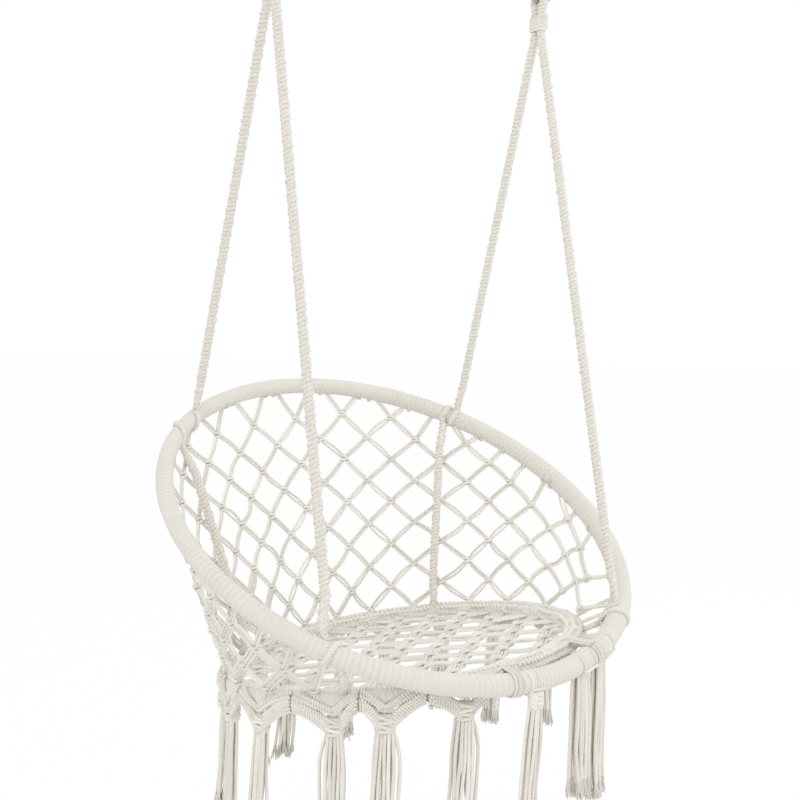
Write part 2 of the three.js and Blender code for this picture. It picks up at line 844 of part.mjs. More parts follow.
function tasselSolid(wasm, anchor, outward, neckHeight) {
  const across = new THREE.Vector3().crossVectors(upward, outward);
  const headTop = anchor.clone().addScaledVector(upward, -tasselHeadDrop);
  const levels = [
    [-headHeight, headRadius],
    [-headHeight / 2, headRadius],
    [0, headRadius * headTopShare],
  ];
  if (neckHeight > 0) {
    levels.push([neckHeight, headRadius * neckShare]);
  }
  let solid = toManifold(wasm, frustum(headTop, outward, across, levels, headSides));
  [[1, 1], [-1, 1], [-1, -1], [1, -1]].forEach(([o, a], strand) => {
    const start = headTop.clone().addScaledVector(upward, strandThickness - headHeight)
      .addScaledVector(outward, o * strandThickness * strandSetShare)
      .addScaledVector(across, a * strandThickness * strandSetShare);
    const drop = tasselLength - tasselHeadDrop - headHeight - (strand % 2) * strandThickness;
    const end = start.clone().addScaledVector(upward, -drop)
      .addScaledVector(outward, o * strandSpread * strandOutShare)
      .addScaledVector(across, a * strandSpread);
    solid = solid.add(toManifold(wasm, flatBar(start, end, strandThickness, strandThickness, outward)));
  });
  return solid;
}

function level(vector) {
  return new THREE.Vector3(vector.x, vector.y, 0).normalize();
}

function buildSeatTassel(wasm, cutter, name, index) {
  const degrees = tasselDegrees[index];
  const outward = level(seatOutward(degrees));
  const anchor = seatPoint(degrees);
  const bandless = bandlessTassels.includes(index);
  const ropeReach = seatWrapRadius + cordGap + ropeDiameter - neckSetDepth;
  const neckHeight = bandless ? tasselHeadDrop - ropeReach : 0;
  let solid = tasselSolid(wasm, anchor, outward, neckHeight);
  if (!bandless) {
    bandEnds(index).forEach((end) => {
      const top = seatPoint(end).addScaledVector(seatUp, strapSetDepth - seatWrapRadius);
      const foot = anchor.clone().addScaledVector(upward, -(tasselHeadDrop + headHeight * bandFootShare));
      solid = solid.add(toManifold(wasm, flatBar(foot, top, bandDepth, bandThickness, outward)));
    });
  }
  addBody(name, fromManifold(solid.subtract(cutter)), cotton(cottonColour));
}

// A tassel under the back hoop, with a flat neck of cords up to the sleeve
function buildHoopTassel(wasm, cutter, name, degrees) {
  const outward = level(hoopOutward(degrees));
  const anchor = hoopPoint(degrees);
  const foot = anchor.clone().addScaledVector(upward, -(tasselHeadDrop + headHeight / 2));
  const top = anchor.clone().addScaledVector(upward, strapSetDepth - backWrapAt(degrees));
  const neck = toManifold(wasm, flatBar(foot, top, neckWidth, bandThickness, outward));
  const solid = tasselSolid(wasm, anchor, outward, 0).add(neck).subtract(cutter);
  addBody(name, fromManifold(solid), cotton(cottonColour));
}

// The angle at which the seat hoop crosses the plane through a point, square to a line
function levelSeatDegrees(point, along) {
  let degrees = nearestSeatDegrees(point);
  const passes = 8;
  for (let pass = 0; pass < passes; pass += 1) {
    const miss = seatPoint(degrees).sub(point).dot(along);
    const run = seatPoint(degrees + 1).sub(seatPoint(degrees)).dot(along);
    degrees -= miss / run;
  }
  return degrees;
}

// A cord lashed around both hoops at the front
function buildLashing(name, degrees) {
  const big = hoopPoint(degrees);
  const along = alongHoop(degrees);
  const small = seatPoint(levelSeatDegrees(big, along));
  const flat = (vector) => vector.addScaledVector(along, -vector.dot(along));
  const toSmall = flat(small.clone().sub(big));
  const distance = toSmall.length();
  const first = toSmall.normalize();
  const second = new THREE.Vector3().crossVectors(along, first);
  const clear = restGap + lashingSlack + lashingCord / 2;
  const bigReach = backWrapAt(degrees) + clear;
  const smallReach = seatWrapRadius + clear;
  const lean = Math.acos((bigReach - smallReach) / distance);
  const path = [];
  const arc = (centre, reach, from, to, steps) => {
    for (let step = 0; step <= steps; step += 1) {
      const angle = from + (to - from) * step / steps;
      path.push(centre.clone()
        .addScaledVector(first, Math.cos(angle) * reach)
        .addScaledVector(second, Math.sin(angle) * reach));
    }
  };
  const smallCentre = big.clone().addScaledVector(first, distance);
  arc(big, bigReach, lean, Math.PI * 2 - lean, lashingBigSteps);
  arc(smallCentre, smallReach, -lean, lean, lashingSmallSteps);
  const rings = path.map((point, index) => {
    const before = path[(index + path.length - 1) % path.length];
    const after = path[(index + 1) % path.length];
    const forward = after.clone().sub(before).normalize();
    const side = new THREE.Vector3().crossVectors(forward, along).normalize();
    return section(point, along, side, lashingCord / 2, lashingSides);
  });
  addBody(name, closedBar(rings), cotton(wrapColour));
}

async function build() {
  const { default: Module } = await import('manifold-3d');
  const wasm = await Module();
  wasm.setup();
  buildHangingRing('hanging_ring_right', 1);
  buildHangingRing('hanging_ring_left', -1);
  const backHoop = {
    pointAt: hoopPoint,
    outwardAt: hoopOutward,
    up: hoopUp,
    wrapAt: backWrapAt,
    radius: backHoopRadius,
    steps: backHoopSteps,
  };
  const seatHoop = {
    pointAt: seatPoint,
    outwardAt: seatOutward,
    up: seatUp,
    wrapAt: () => seatWrapRadius,
    radius: seatHoopRadius,
    steps: seatHoopSteps,
  };
  buildHoop('back_hoop', backHoop);
  buildHoop('seat_hoop', seatHoop);
  const cutter = sleeveCutter(wasm, backHoop)
    .add(sleeveCutter(wasm, seatHoop))
    .add(buildSideRope(wasm, 'side_rope_right', 'rope_gather_right', 1))
    .add(buildSideRope(wasm, 'side_rope_left', 'rope_gather_left', -1));
  for (let panel = 0; panel < panelColumns.length - 1; panel += 1) {
    const name = 'back_net_panel_' + (panel + 1);
    backNetPanel(wasm, cutter, name, panelColumns[panel], panelColumns[panel + 1]);
  }
  buildSeatNet(wasm, cutter, 'seat_net');
  lashingDegrees.forEach((degrees, index) => buildLashing('hoop_lashing_' + (index + 1), degrees));
  tasselDegrees.forEach((degrees, index) => {
    buildSeatTassel(wasm, cutter, 'seat_tassel_' + String(index + 1).padStart(2, '0'), index);
  });
  hoopTasselDegrees.forEach((degrees, index) => {
    buildHoopTassel(wasm, cutter, 'hoop_tassel_' + (index + 1), degrees);
  });
  return group;
}

export default await build();
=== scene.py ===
import math
import random

import bmesh
import bpy
import numpy as np
from mathutils import Matrix, Vector


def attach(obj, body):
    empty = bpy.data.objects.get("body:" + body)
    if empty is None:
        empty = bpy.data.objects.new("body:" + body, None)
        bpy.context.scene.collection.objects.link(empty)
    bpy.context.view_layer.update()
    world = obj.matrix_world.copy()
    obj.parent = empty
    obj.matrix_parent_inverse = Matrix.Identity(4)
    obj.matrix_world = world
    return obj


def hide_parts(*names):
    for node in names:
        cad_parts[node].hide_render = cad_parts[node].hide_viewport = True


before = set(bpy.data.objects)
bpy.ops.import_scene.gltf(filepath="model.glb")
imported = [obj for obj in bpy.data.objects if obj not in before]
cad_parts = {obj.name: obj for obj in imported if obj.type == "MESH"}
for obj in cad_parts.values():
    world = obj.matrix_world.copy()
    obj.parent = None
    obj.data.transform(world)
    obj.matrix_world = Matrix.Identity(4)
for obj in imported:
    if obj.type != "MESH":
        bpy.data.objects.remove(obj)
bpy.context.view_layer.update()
dice = random.Random(7)

# The chair's own sizes, in metres and degrees. Angles on a hoop count from the
# right (+X) towards the back (+Y), and the sitter faces -Y.
chair = {
    "ringSpan": 0.5056, "ringOuter": 0.07, "ringWire": 0.008,
    "backHoop": 0.77, "seatHoop": 0.562, "seatDrop": 1.144, "seatForward": 0.017,
    "hoopFrontAhead": 0.0308, "hoopFrontBelow": 0.0066,
    "hoopTilt": 30.7, "seatRecline": 5.9, "seatLean": 7.1,
    "backWrap": 0.0152, "backSwell": 0.0019, "swellAt": -45, "seatWrap": 0.014,
}


def unit(vector):
    return vector / np.linalg.norm(vector)


def vec(x, y, z):
    return np.array([x, y, z], float)


def turned(degrees):
    return math.cos(math.radians(degrees)), math.sin(math.radians(degrees))


def arc(centre, first, second, angles):
    # points at angles in degrees on an ellipse with two half axes
    return [centre + first * across + second * out for across, out in map(turned, angles)]


upward = vec(0, 0, 1)
tiltCos, tiltSin = turned(chair["hoopTilt"])
leanCos, leanSin = turned(chair["seatLean"])
reclineCos, reclineSin = turned(chair["seatRecline"])
seatSide = vec(leanCos, 0, leanSin)
seatUp = unit(np.cross(seatSide, vec(0, reclineCos, -reclineSin)))
seatHoop = {
    "radius": chair["seatHoop"] / 2, "side": seatSide, "up": seatUp, "back": np.cross(seatUp, seatSide),
    "centre": vec(0, -chair["seatForward"], -chair["seatDrop"]), "wrap": lambda degrees: chair["seatWrap"],
}
seatFront = seatHoop["centre"] - seatHoop["back"] * seatHoop["radius"]
backHoop = {
    "radius": chair["backHoop"] / 2, "side": vec(1, 0, 0), "up": vec(0, -tiltSin, tiltCos),
    "back": vec(0, tiltCos, tiltSin),
    "wrap": lambda degrees: chair["backWrap"] + chair["backSwell"] * turned(degrees - chair["swellAt"])[0],
}
backHoop["centre"] = (
    vec(0, seatFront[1] - chair["hoopFrontAhead"], seatFront[2] - chair["hoopFrontBelow"])
    + backHoop["back"] * backHoop["radius"]
)


def outwardOf(hoop, degrees):
    across, back = turned(degrees)
    return hoop["side"] * across + hoop["back"] * back


def alongOf(hoop, degrees):
    across, back = turned(degrees)
    return hoop["back"] * across - hoop["side"] * back


def onHoop(hoop, degrees):
    return hoop["centre"] + outwardOf(hoop, degrees) * hoop["radius"]


def degreesOf(hoop, point):
    offset = point - hoop["centre"]
    degrees = math.degrees(math.atan2(offset @ hoop["back"], offset @ hoop["side"]))
    return degrees + 360 if degrees < -90 else degrees


def spun(turn, first, second):
    # the directions at the given angles between two axes
    return np.cos(turn)[:, None] * first + np.sin(turn)[:, None] * second


def aroundHoop(hoop, points):
    # for each point its angle along the hoop, the way out from the hoop there and the sleeve's radius
    offset = points - hoop["centre"]
    angle = np.arctan2(offset @ hoop["back"], offset @ hoop["side"])
    wrap = np.array([hoop["wrap"](math.degrees(a)) for a in angle])
    return angle, spun(angle, hoop["side"], hoop["back"]), wrap


def placed(name, data):
    thing = bpy.data.objects.new(name, data)
    bpy.context.scene.collection.objects.link(thing)
    return thing


# Camera
view = {
    "place": (-1.134, -1.7776, -0.6283), "yaw": 32.4, "pitch": 2.93, "roll": 1.56,
    "lens": 58.5, "sensor": 36, "far": 50,
}


def addCamera():
    data = bpy.data.cameras.new("camera")
    data.lens, data.sensor_width = view["lens"], view["sensor"]
    data.clip_end = view["far"]
    camera = placed("camera", data)
    camera.location = view["place"]
    yaw, pitch, roll = (math.radians(view[word]) for word in ("yaw", "pitch", "roll"))
    camera.rotation_euler = (math.pi / 2 - pitch, 0, -yaw)
    camera.rotation_euler = (camera.rotation_euler.to_matrix() @ Matrix.Rotation(roll, 3, "Z")).to_euler()
    bpy.context.scene.camera = camera
    print("camera placed")


addCamera()


# Cords: many cords of one piece are drawn as one bevelled curve and made a mesh
weldDistance = 2e-6
# the small dome at a cord's end: how far along and how wide, in its radii
dome = ((0, 0), (0.06, 0.45), (0.4, 0.87), (1, 1))


def smoothPath(points, step, closed=False):
    # a smooth line through the points, in steps of about the given length
    points = np.array(points, float)
    if closed:
        around = np.vstack([points[-1:], points, points[:2]])
    else:
        around = np.vstack([2 * points[0] - points[1], points, 2 * points[-1] - points[-2]])
    line = []
    for a, b, c, d in zip(around[:-3], around[1:-2], around[2:-1], around[3:]):
        count = max(1, math.ceil(np.linalg.norm(c - b) / step))
        t = (np.arange(count) / count)[:, None]
        square, cube = (2 * a - 5 * b + 4 * c - d) * t**2, (3 * b - a - 3 * c + d) * t**3
        line.append(0.5 * (2 * b + (c - a) * t + square + cube))
    return np.vstack(line if closed else line + [points[-1:]])


def roundEnds(points, radius):
    # the points and radii of a cord with a dome at each end
    points = np.array(points, float)
    first, last = unit(points[1] - points[0]) * radius, unit(points[-2] - points[-1]) * radius
    start = [points[0] + first * along for along, wide in dome]
    end = [points[-1] + last * along for along, wide in reversed(dome)]
    radii = [radius * wide for along, wide in dome]
    return np.vstack([start, points[1:-1], end]), radii + [radius] * (len(points) - 2) + radii[::-1]


def lengthsAlong(points):
    return np.concatenate([[0], np.cumsum(np.linalg.norm(np.diff(points, axis=0), axis=1))])


def addCord(cords, points, radius, closed=False):
    if closed:
        cords.append((np.array(points, float), [radius] * len(points), True))
    else:
        cords.append((*roundEnds(points, radius), False))


def cordCurve(name, cords, sides):
    curve = bpy.data.curves.new(name, "CURVE")
    curve.dimensions = "3D"
    curve.bevel_depth = 1  # so a point's radius is its cord's radius in metres
    curve.bevel_resolution = sides // 2 - 2
    for points, radii, closed in cords:
        spline = curve.splines.new("POLY")
        spline.points.add(len(points) - 1)
        spline.points.foreach_set("co", np.hstack([points, np.ones((len(points), 1))]).ravel())
        spline.points.foreach_set("radius", radii)
        spline.use_cyclic_u = closed
    return curve


def curveMesh(name, cords, sides):
    curve = cordCurve(name, cords, sides)
    holder = placed(name, curve)
    mesh = bpy.data.meshes.new_from_object(holder)
    bpy.data.objects.remove(holder)
    bpy.data.curves.remove(curve)
    return mesh


def cornersOf(mesh):
    # the vertices of each face, where all faces have four
    corner = np.zeros(len(mesh.loops), int)
    mesh.loops.foreach_get("vertex_index", corner)
    return corner.reshape(-1, 4)


def setUvAndTone(mesh, across, along, tone):
    layer = mesh.uv_layers[0]
    layer.uv.foreach_set("vector", np.stack([across, along], axis=2).ravel().astype(np.float32))
    mesh.attributes.new("tone", "FLOAT", "POINT").data.foreach_set("value", tone.astype(np.float32))


def meshOf(name, cords, sides=6):
    # UV runs around each cord and along it in metres, and tone differs from cord to cord
    mesh = curveMesh(name, cords, sides)
    ring, along, tone, count = [], [], [], []
    for points, radii, closed in cords:
        far = lengthsAlong(points)
        step = far[-1] / max(1, len(points) - 1)
        ring.append(np.repeat(np.arange(len(points)), sides))
        along.append(np.repeat(far, sides))
        tone.append(np.full(len(points) * sides, dice.gauss(0, cotton["wander"])))
        count.append(np.full(len(points) * sides, far[-1] + step))
    ring, along, tone, count = (np.concatenate(part) for part in (ring, along, tone, count))
    corner = cornersOf(mesh)
    side = corner % sides
    side = side + np.where((side.max(1) - side.min(1) > 1)[:, None] & (side == 0), sides, 0)
    wraps = (ring[corner].max(1) - ring[corner].min(1) > 1)[:, None] & (ring[corner] == 0)
    setUvAndTone(mesh, side / sides, along[corner] + np.where(wraps, count[corner], 0), tone)
    return mesh


def addPiece(name, mesh, material, nodes=(), body="chair"):
    shell = bmesh.new()
    shell.from_mesh(mesh)
    bmesh.ops.remove_doubles(shell, verts=shell.verts, dist=weldDistance)
    bmesh.ops.recalc_face_normals(shell, faces=shell.faces)
    shell.to_mesh(mesh)
    shell.free()
    mesh.polygons.foreach_set("use_smooth", [True] * len(mesh.polygons))
    mesh.materials.clear()
    mesh.materials.append(material)
    piece = placed(name, mesh)
    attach(piece, body)
    if nodes:
        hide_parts(*nodes)
    return piece


# Cotton
cotton = {
    "patchScale": 22, "patchDetail": 2, "patchShare": 0.04, "speckScale": 420, "speckShare": 0.08,
    "fibreScale": 1500, "fibreDepth": 0.0003, "fineDetail": 3, "wander": 0.08, "toneShare": 0.5,
    # dark is the share of the colour left at the bottom of the ply creases, as painted shade
    "dark": 0.92, "creasePower": 0.6, "roughness": 0.92, "sheen": 0.25, "sheenRoughness": 0.5, "specular": 0.15,
}
# each cotton's colour, plies, their turns in a metre and the depth of their creases
cottons = {
    "rope": ((0.82, 0.79, 0.72), 2, 150, 0.0003),
    "net": ((0.855, 0.832, 0.77), 3, 170, 0.0003),
    "wound": ((0.77, 0.742, 0.68), 2, 260, 0.0002),
    "tassel": ((0.845, 0.815, 0.748), 3, 130, 0.0004),
}


def startMaterial(name):
    material = bpy.data.materials.new(name)
    material.use_nodes = True
    nodes, links = material.node_tree.nodes, material.node_tree.links
    return material, nodes, links, nodes["Principled BSDF"]


def addNode(nodes, kind, values={}):
    node = nodes.new("ShaderNode" + kind)
    setInputs(node, values)
    return node


def setInputs(node, values):
    for socket, value in values.items():
        node.inputs[socket].default_value = value


def mathsIn(nodes, links):
    # a function that adds a math node and gives its output
    def maths(operation, first, second=None):
        node = addNode(nodes, "Math")
        node.operation = operation
        for socket, value in zip(node.inputs, (first, second)):
            if isinstance(value, (int, float)):
                socket.default_value = value
            elif value is not None:
                links.new(value, socket)
        return node.outputs[0]

    return maths


def cottonMaterial(kind):
    colour, plies, plyTurns, plyDepth = cottons[kind]
    material, nodes, links, shader = startMaterial(kind + "_cotton")
    maths = mathsIn(nodes, links)
    place, uv, split = (addNode(nodes, kind) for kind in ("TexCoord", "UVMap", "SeparateXYZ"))
    uv.uv_map = "UVMap"
    links.new(uv.outputs["UV"], split.inputs["Vector"])

    def noise(scale, detail):
        node = addNode(nodes, "TexNoise", {"Scale": scale, "Detail": detail})
        links.new(place.outputs["Object"], node.inputs["Vector"])
        return node.outputs["Fac"]

    # the twist of the plies: a wave around and along the cord, which bumps the surface and also paints shade into
    # the creases
    around = maths("MULTIPLY", split.outputs["X"], plies)
    turn = maths("ADD", around, maths("MULTIPLY", split.outputs["Y"], plyTurns))
    wave = maths("SINE", maths("MULTIPLY", turn, math.tau))
    crease = maths("POWER", maths("ADD", maths("MULTIPLY", wave, 0.5), 0.5), cotton["creasePower"])
    tone = addNode(nodes, "Attribute")
    tone.attribute_name = "tone"
    patches = noise(cotton["patchScale"], cotton["patchDetail"])
    specks, fibres = (noise(cotton[scale], cotton["fineDetail"]) for scale in ("speckScale", "fibreScale"))
    toneAndPaintedShade = maths("ADD", maths("MULTIPLY", maths("SUBTRACT", patches, 0.5), cotton["patchShare"] * 2), 1.0)
    toneAndPaintedShade = maths("ADD", toneAndPaintedShade, maths("MULTIPLY", maths("SUBTRACT", specks, 0.5), cotton["speckShare"] * 2))
    toneAndPaintedShade = maths("ADD", toneAndPaintedShade, maths("MULTIPLY", tone.outputs["Fac"], cotton["toneShare"]))
    # painted shade: the colour darkens in the creases between the plies
    toneAndPaintedShade = maths("MULTIPLY", toneAndPaintedShade, maths("ADD", maths("MULTIPLY", crease, 1 - cotton["dark"]), cotton["dark"]))
    paint = addNode(nodes, "VectorMath")
    paint.operation = "SCALE"
    paint.inputs[0].default_value = colour
    links.new(toneAndPaintedShade, paint.inputs["Scale"])
    links.new(paint.outputs["Vector"], shader.inputs["Base Color"])
    plyBump = addNode(nodes, "Bump", {"Distance": plyDepth})
    fibreBump = addNode(nodes, "Bump", {"Distance": cotton["fibreDepth"]})
    links.new(crease, plyBump.inputs["Height"])
    links.new(fibres, fibreBump.inputs["Height"])
    links.new(plyBump.outputs["Normal"], fibreBump.inputs["Normal"])
    links.new(fibreBump.outputs["Normal"], shader.inputs["Normal"])
    setInputs(shader, {
        "Roughness": cotton["roughness"], "Specular IOR Level": cotton["specular"],
        "Sheen Weight": cotton["sheen"], "Sheen Roughness": cotton["sheenRoughness"],
    })
    return material


ropeCotton, netCotton, woundCotton, tasselCotton = (cottonMaterial(kind) for kind in cottons)
print("cotton made")

# Side ropes: each goes from the seat hoop up around the back hoop, through its steel
# ring and down around the back hoop to the front of the seat hoop
rope = {
    "diameter": 0.016, "gap": 0.0015, "legGap": 0.0083, "wireReach": 0.0123, "wireZ": -0.058,
    "gatherBelow": 0.05, "gatherHeight": 0.024, "turnSteps": 20, "seatTurnShare": 0.75,
    "bightSteps": 6, "legStep": 0.048, "smooth": 0.004,
    "backHitch": (47.5, 132.5), "frontHitch": (-47.1, 227.1), "backSeat": (44, 136), "frontSeat": (-40, 220),
    "hitchRun": (0, 0.04), "hitchShift": (0, 0.02), "backLead": 0.25, "frontLead": 0.15, "frontEnd": 0.003,
    "cord": 0.0029, "core": 0.0064, "knotStep": 0.0068, "stepsPerTurn": 10, "bulge": 0.0205,
    "inner": 0.0047, "swell": 0.0013, "uneven": 0.0007, "unevenRates": (310, 173, 71),
    # pressed flat: a height over a sleeve, in rope thicknesses, becomes the one beside it in the second list
    "pressFrom": (0, 0.5, 1, 1.5, 2, 3), "press": (0, 0.06, 0.16, 0.55, 1.3, 3), "pulled": 0.6,
}


def turnAround(hoop, degrees, way, share=1, lead=0, run=0, shift=0):
    # from the hoop's inner side, under it and round; the lead is a part turn before that, and the
    # run and the shift carry the turn along the hoop
    reach = hoop["wrap"](degrees) + rope["diameter"] / 2 + rope["gap"]
    pitch = rope["diameter"] + rope["gap"]
    centre, outward, along = onHoop(hoop, degrees), outwardOf(hoop, degrees), alongOf(hoop, degrees) * way
    points = []
    for step in range(round(-rope["turnSteps"] * lead), round(rope["turnSteps"] * share) + 1):
        part = step / rope["turnSteps"]
        across, drop = turned(part * 360)
        forward = (part - 0.5) * pitch + part * run + shift
        points.append(centre - outward * across * reach - hoop["up"] * drop * reach + along * forward)
    return points


def pressed(points):
    # a rope lies flat where it is pulled tight around a hoop, and its cords are thinner there
    points = np.array(points, float)
    thin = np.ones(len(points))
    limit = rope["diameter"] + rope["gap"]
    for hoop in (backHoop, seatHoop):
        outward, wrap = aroundHoop(hoop, points)[1:]
        core = hoop["centre"] + hoop["radius"] * outward
        away = points - core
        far = np.linalg.norm(away, axis=1)
        above = np.interp((far - wrap) / limit, rope["pressFrom"], rope["press"], right=-1) * limit
        close = above >= 0
        points[close] = (core + away * ((wrap + above) / far)[:, None])[close]
        thin = np.minimum(thin, np.interp((far - wrap) / limit, (1, 2), (rope["pulled"], 1)))
    return points, thin


def addPressedCord(cords, points, radius):
    line, radii = roundEnds(points, radius)
    line, thin = pressed(line)
    cords.append((line, list(thin * radii), False))


def ropeLine(index):
    side = (1, -1)[index]
    x, way = side * chair["ringSpan"] / 2, -side
    at = lambda y, z: vec(x, y, z)
    low = rope["wireZ"] - rope["gatherBelow"] - rope["diameter"] / 2
    high = rope["wireZ"] - rope["gatherBelow"] + rope["gatherHeight"] + rope["diameter"] / 2
    gap, reach = rope["legGap"], rope["wireReach"]
    back = [at(gap, low)]
    back += turnAround(
        backHoop, rope["backHitch"][index], 1, lead=rope["backLead"],
        run=rope["hitchRun"][index], shift=rope["hitchShift"][index],
    )
    back += turnAround(seatHoop, rope["backSeat"][index], way, rope["seatTurnShare"])
    front = [at(-gap, low)] + turnAround(backHoop, rope["frontHitch"][index], way, lead=rope["frontLead"])
    seat = onHoop(seatHoop, rope["frontSeat"][index])
    front.append(seat + unit(front[-1] - seat) * (chair["seatWrap"] + rope["frontEnd"]))
    bight = arc(at(0, rope["wireZ"]), vec(0, reach, 0), upward * reach, np.linspace(0, 180, rope["bightSteps"] + 1))
    legs = lambda line: spaceOut(line, rope["legStep"])
    top = [at(gap, low), at(gap, high), *bight, at(-gap, high), at(-gap, low)]
    route = legs(back)[::-1][:-1] + top + legs(front)[1:]
    return smoothPath(route, rope["smooth"])


def spaceOut(line, step):
    # points no farther apart than the step, on the same straight stretches
    points = [line[0]]
    for a, b in zip(line[:-1], line[1:]):
        count = max(1, math.ceil(np.linalg.norm(b - a) / step))
        points += [a + (b - a) * (part / count) for part in range(1, count + 1)]
    return points


def carriedAxes(line):
    # two axes square to the line, carried along it without twist
    along = np.gradient(line, axis=0)
    along /= np.linalg.norm(along, axis=1)[:, None]
    first = np.zeros_like(line)
    askew = vec(0.3, 0.5, 0.8)  # a direction in which no line starts
    axis = unit(np.cross(along[0], askew))
    for index, direction in enumerate(along):
        axis = unit(axis - direction * (axis @ direction))
        first[index] = axis
    return first, np.cross(along, first)


def alongLine(line, far, places, values):
    return np.stack([np.interp(places, far, values[:, k]) for k in range(3)], axis=1)


def addSennit(cords, line):
    # two working cords knotted round a core; the side where they cross turns slowly round the rope
    far = lengthsAlong(line)
    first, second = carriedAxes(line)
    places = np.linspace(0, far[-1], int(far[-1] / (2 * rope["knotStep"]) * rope["stepsPerTurn"]))
    centre, first, second = (alongLine(line, far, places, values) for values in (line, first, second))
    for phase in (0, math.pi):
        turn = math.pi * places / rope["knotStep"] + phase
        crossing = np.cos(turn - math.pi * places / rope["bulge"]) ** 2
        wave = sum(np.sin(places * rate + phase * rate) for rate in rope["unevenRates"]) / 3
        reach = (rope["inner"] + rope["swell"] * crossing + rope["uneven"] * wave)[:, None]
        points = centre + reach * spun(turn, first, second)
        addPressedCord(cords, points, rope["cord"])
    addPressedCord(cords, line, rope["core"])


def addSideRope(side, index):
    line, cords = ropeLine(index), []
    addSennit(cords, line)
    line = pressed(line)[0]
    name = "side_rope_" + side
    piece = addPiece(name + "_cotton", meshOf("side_rope", cords), ropeCotton, [name])
    print("side rope", side, round(lengthsAlong(line)[-1], 3), "m")


for index, side in enumerate(("right", "left")):
    addSideRope(side, index)


# The band wound around both legs of a rope below its ring
gather = {"turns": 7, "cord": 0.0019, "reach": 0.0088, "lean": 0.0016, "steps": 7, "smooth": 0.003, "sides": 8}


def addGather(side, x):
    bottom = rope["wireZ"] - rope["gatherBelow"]
    pitch = rope["gatherHeight"] / gather["turns"]
    across, out = vec(gather["reach"], 0, gather["lean"]), vec(0, gather["reach"], 0)
    cords = []
    for turn in range(gather["turns"]):
        z = bottom + (turn + 0.5) * pitch
        loop = []
        for end, start in ((1, 0), (-1, 180)):
            halfTurn = np.linspace(start, start + 180, gather["steps"] + 1)
            loop += arc(vec(x, end * rope["legGap"], z), across, out, halfTurn)
        addCord(cords, smoothPath(loop, gather["smooth"], True), gather["cord"], True)
    name = "rope_gather_" + side
    addPiece(name + "_cords", meshOf(name, cords, gather["sides"]), ropeCotton, [name])


addGather("right", chair["ringSpan"] / 2)
addGather("left", -chair["ringSpan"] / 2)


# Hoop sleeves: cotton cord wound close around the steel tube
sleeve = {
    "pitch": 0.0034, "ringsPerTurn": 5, "sides": 18, "ridge": 0.0005, "ridgeMiddle": 0.6,
    "uneven": 0.0005, "unevenWaves": ((7, 1), (17, 2), (31, 4)),
    "tone": 0.08, "toneTurns": 0.37, "toneWaves": 5, "across": 0.5,
}


def addSleeve(name, hoop):
    turns = round(math.tau * hoop["radius"] / sleeve["pitch"])
    rings = turns * sleeve["ringsPerTurn"]
    line = np.array([onHoop(hoop, 360 * ring / rings) for ring in range(rings)])
    mesh = curveMesh(name, [(line, [chair["seatWrap"]] * rings, True)], sleeve["sides"])
    points = np.zeros(len(mesh.vertices) * 3, np.float32)
    mesh.vertices.foreach_get("co", points)
    points = points.reshape(-1, 3).astype(float)
    angle, outward, wrap = aroundHoop(hoop, points)
    offset = points - hoop["centre"]
    around = np.arctan2(offset @ hoop["up"], (offset * outward).sum(1) - hoop["radius"])
    turn = turns * angle / math.tau + around / math.tau
    ridge = np.abs(np.sin(math.pi * turn)) - sleeve["ridgeMiddle"]
    wave = sum(np.sin(rate * angle + shift) for rate, shift in sleeve["unevenWaves"]) / 3
    reach = wrap + sleeve["ridge"] * ridge + sleeve["uneven"] * wave
    points = (
        hoop["centre"] + outward * (hoop["radius"] + reach * np.cos(around))[:, None]
        + hoop["up"] * (reach * np.sin(around))[:, None]
    )
    mesh.vertices.foreach_set("co", points.astype(np.float32).ravel())
    tone = sleeve["tone"] * np.sin(math.tau * turn * sleeve["toneTurns"]) * np.sin(sleeve["toneWaves"] * angle)
    setUvAndTone(mesh, *sleeveUv(mesh, turns, angle / math.tau, around / math.tau), tone)
    addPiece(name + "_cotton", mesh, woundCotton, [name])


def sleeveUv(mesh, turns, angle, around):
    # UV runs across each turn of the cord, and along it in metres
    corner = cornersOf(mesh)

    def unwrapped(values):
        values = values[corner]
        wraps = (values.max(1) - values.min(1) > 0.5)[:, None] & (values < 0)
        return values + wraps

    angle, around = unwrapped(angle), unwrapped(around)
    return (turns * angle + around) * sleeve["across"], around * math.tau * chair["seatWrap"]


addSleeve("back_hoop_wrap", backHoop)
addSleeve("seat_hoop_wrap", seatHoop)
print("sleeves wound")

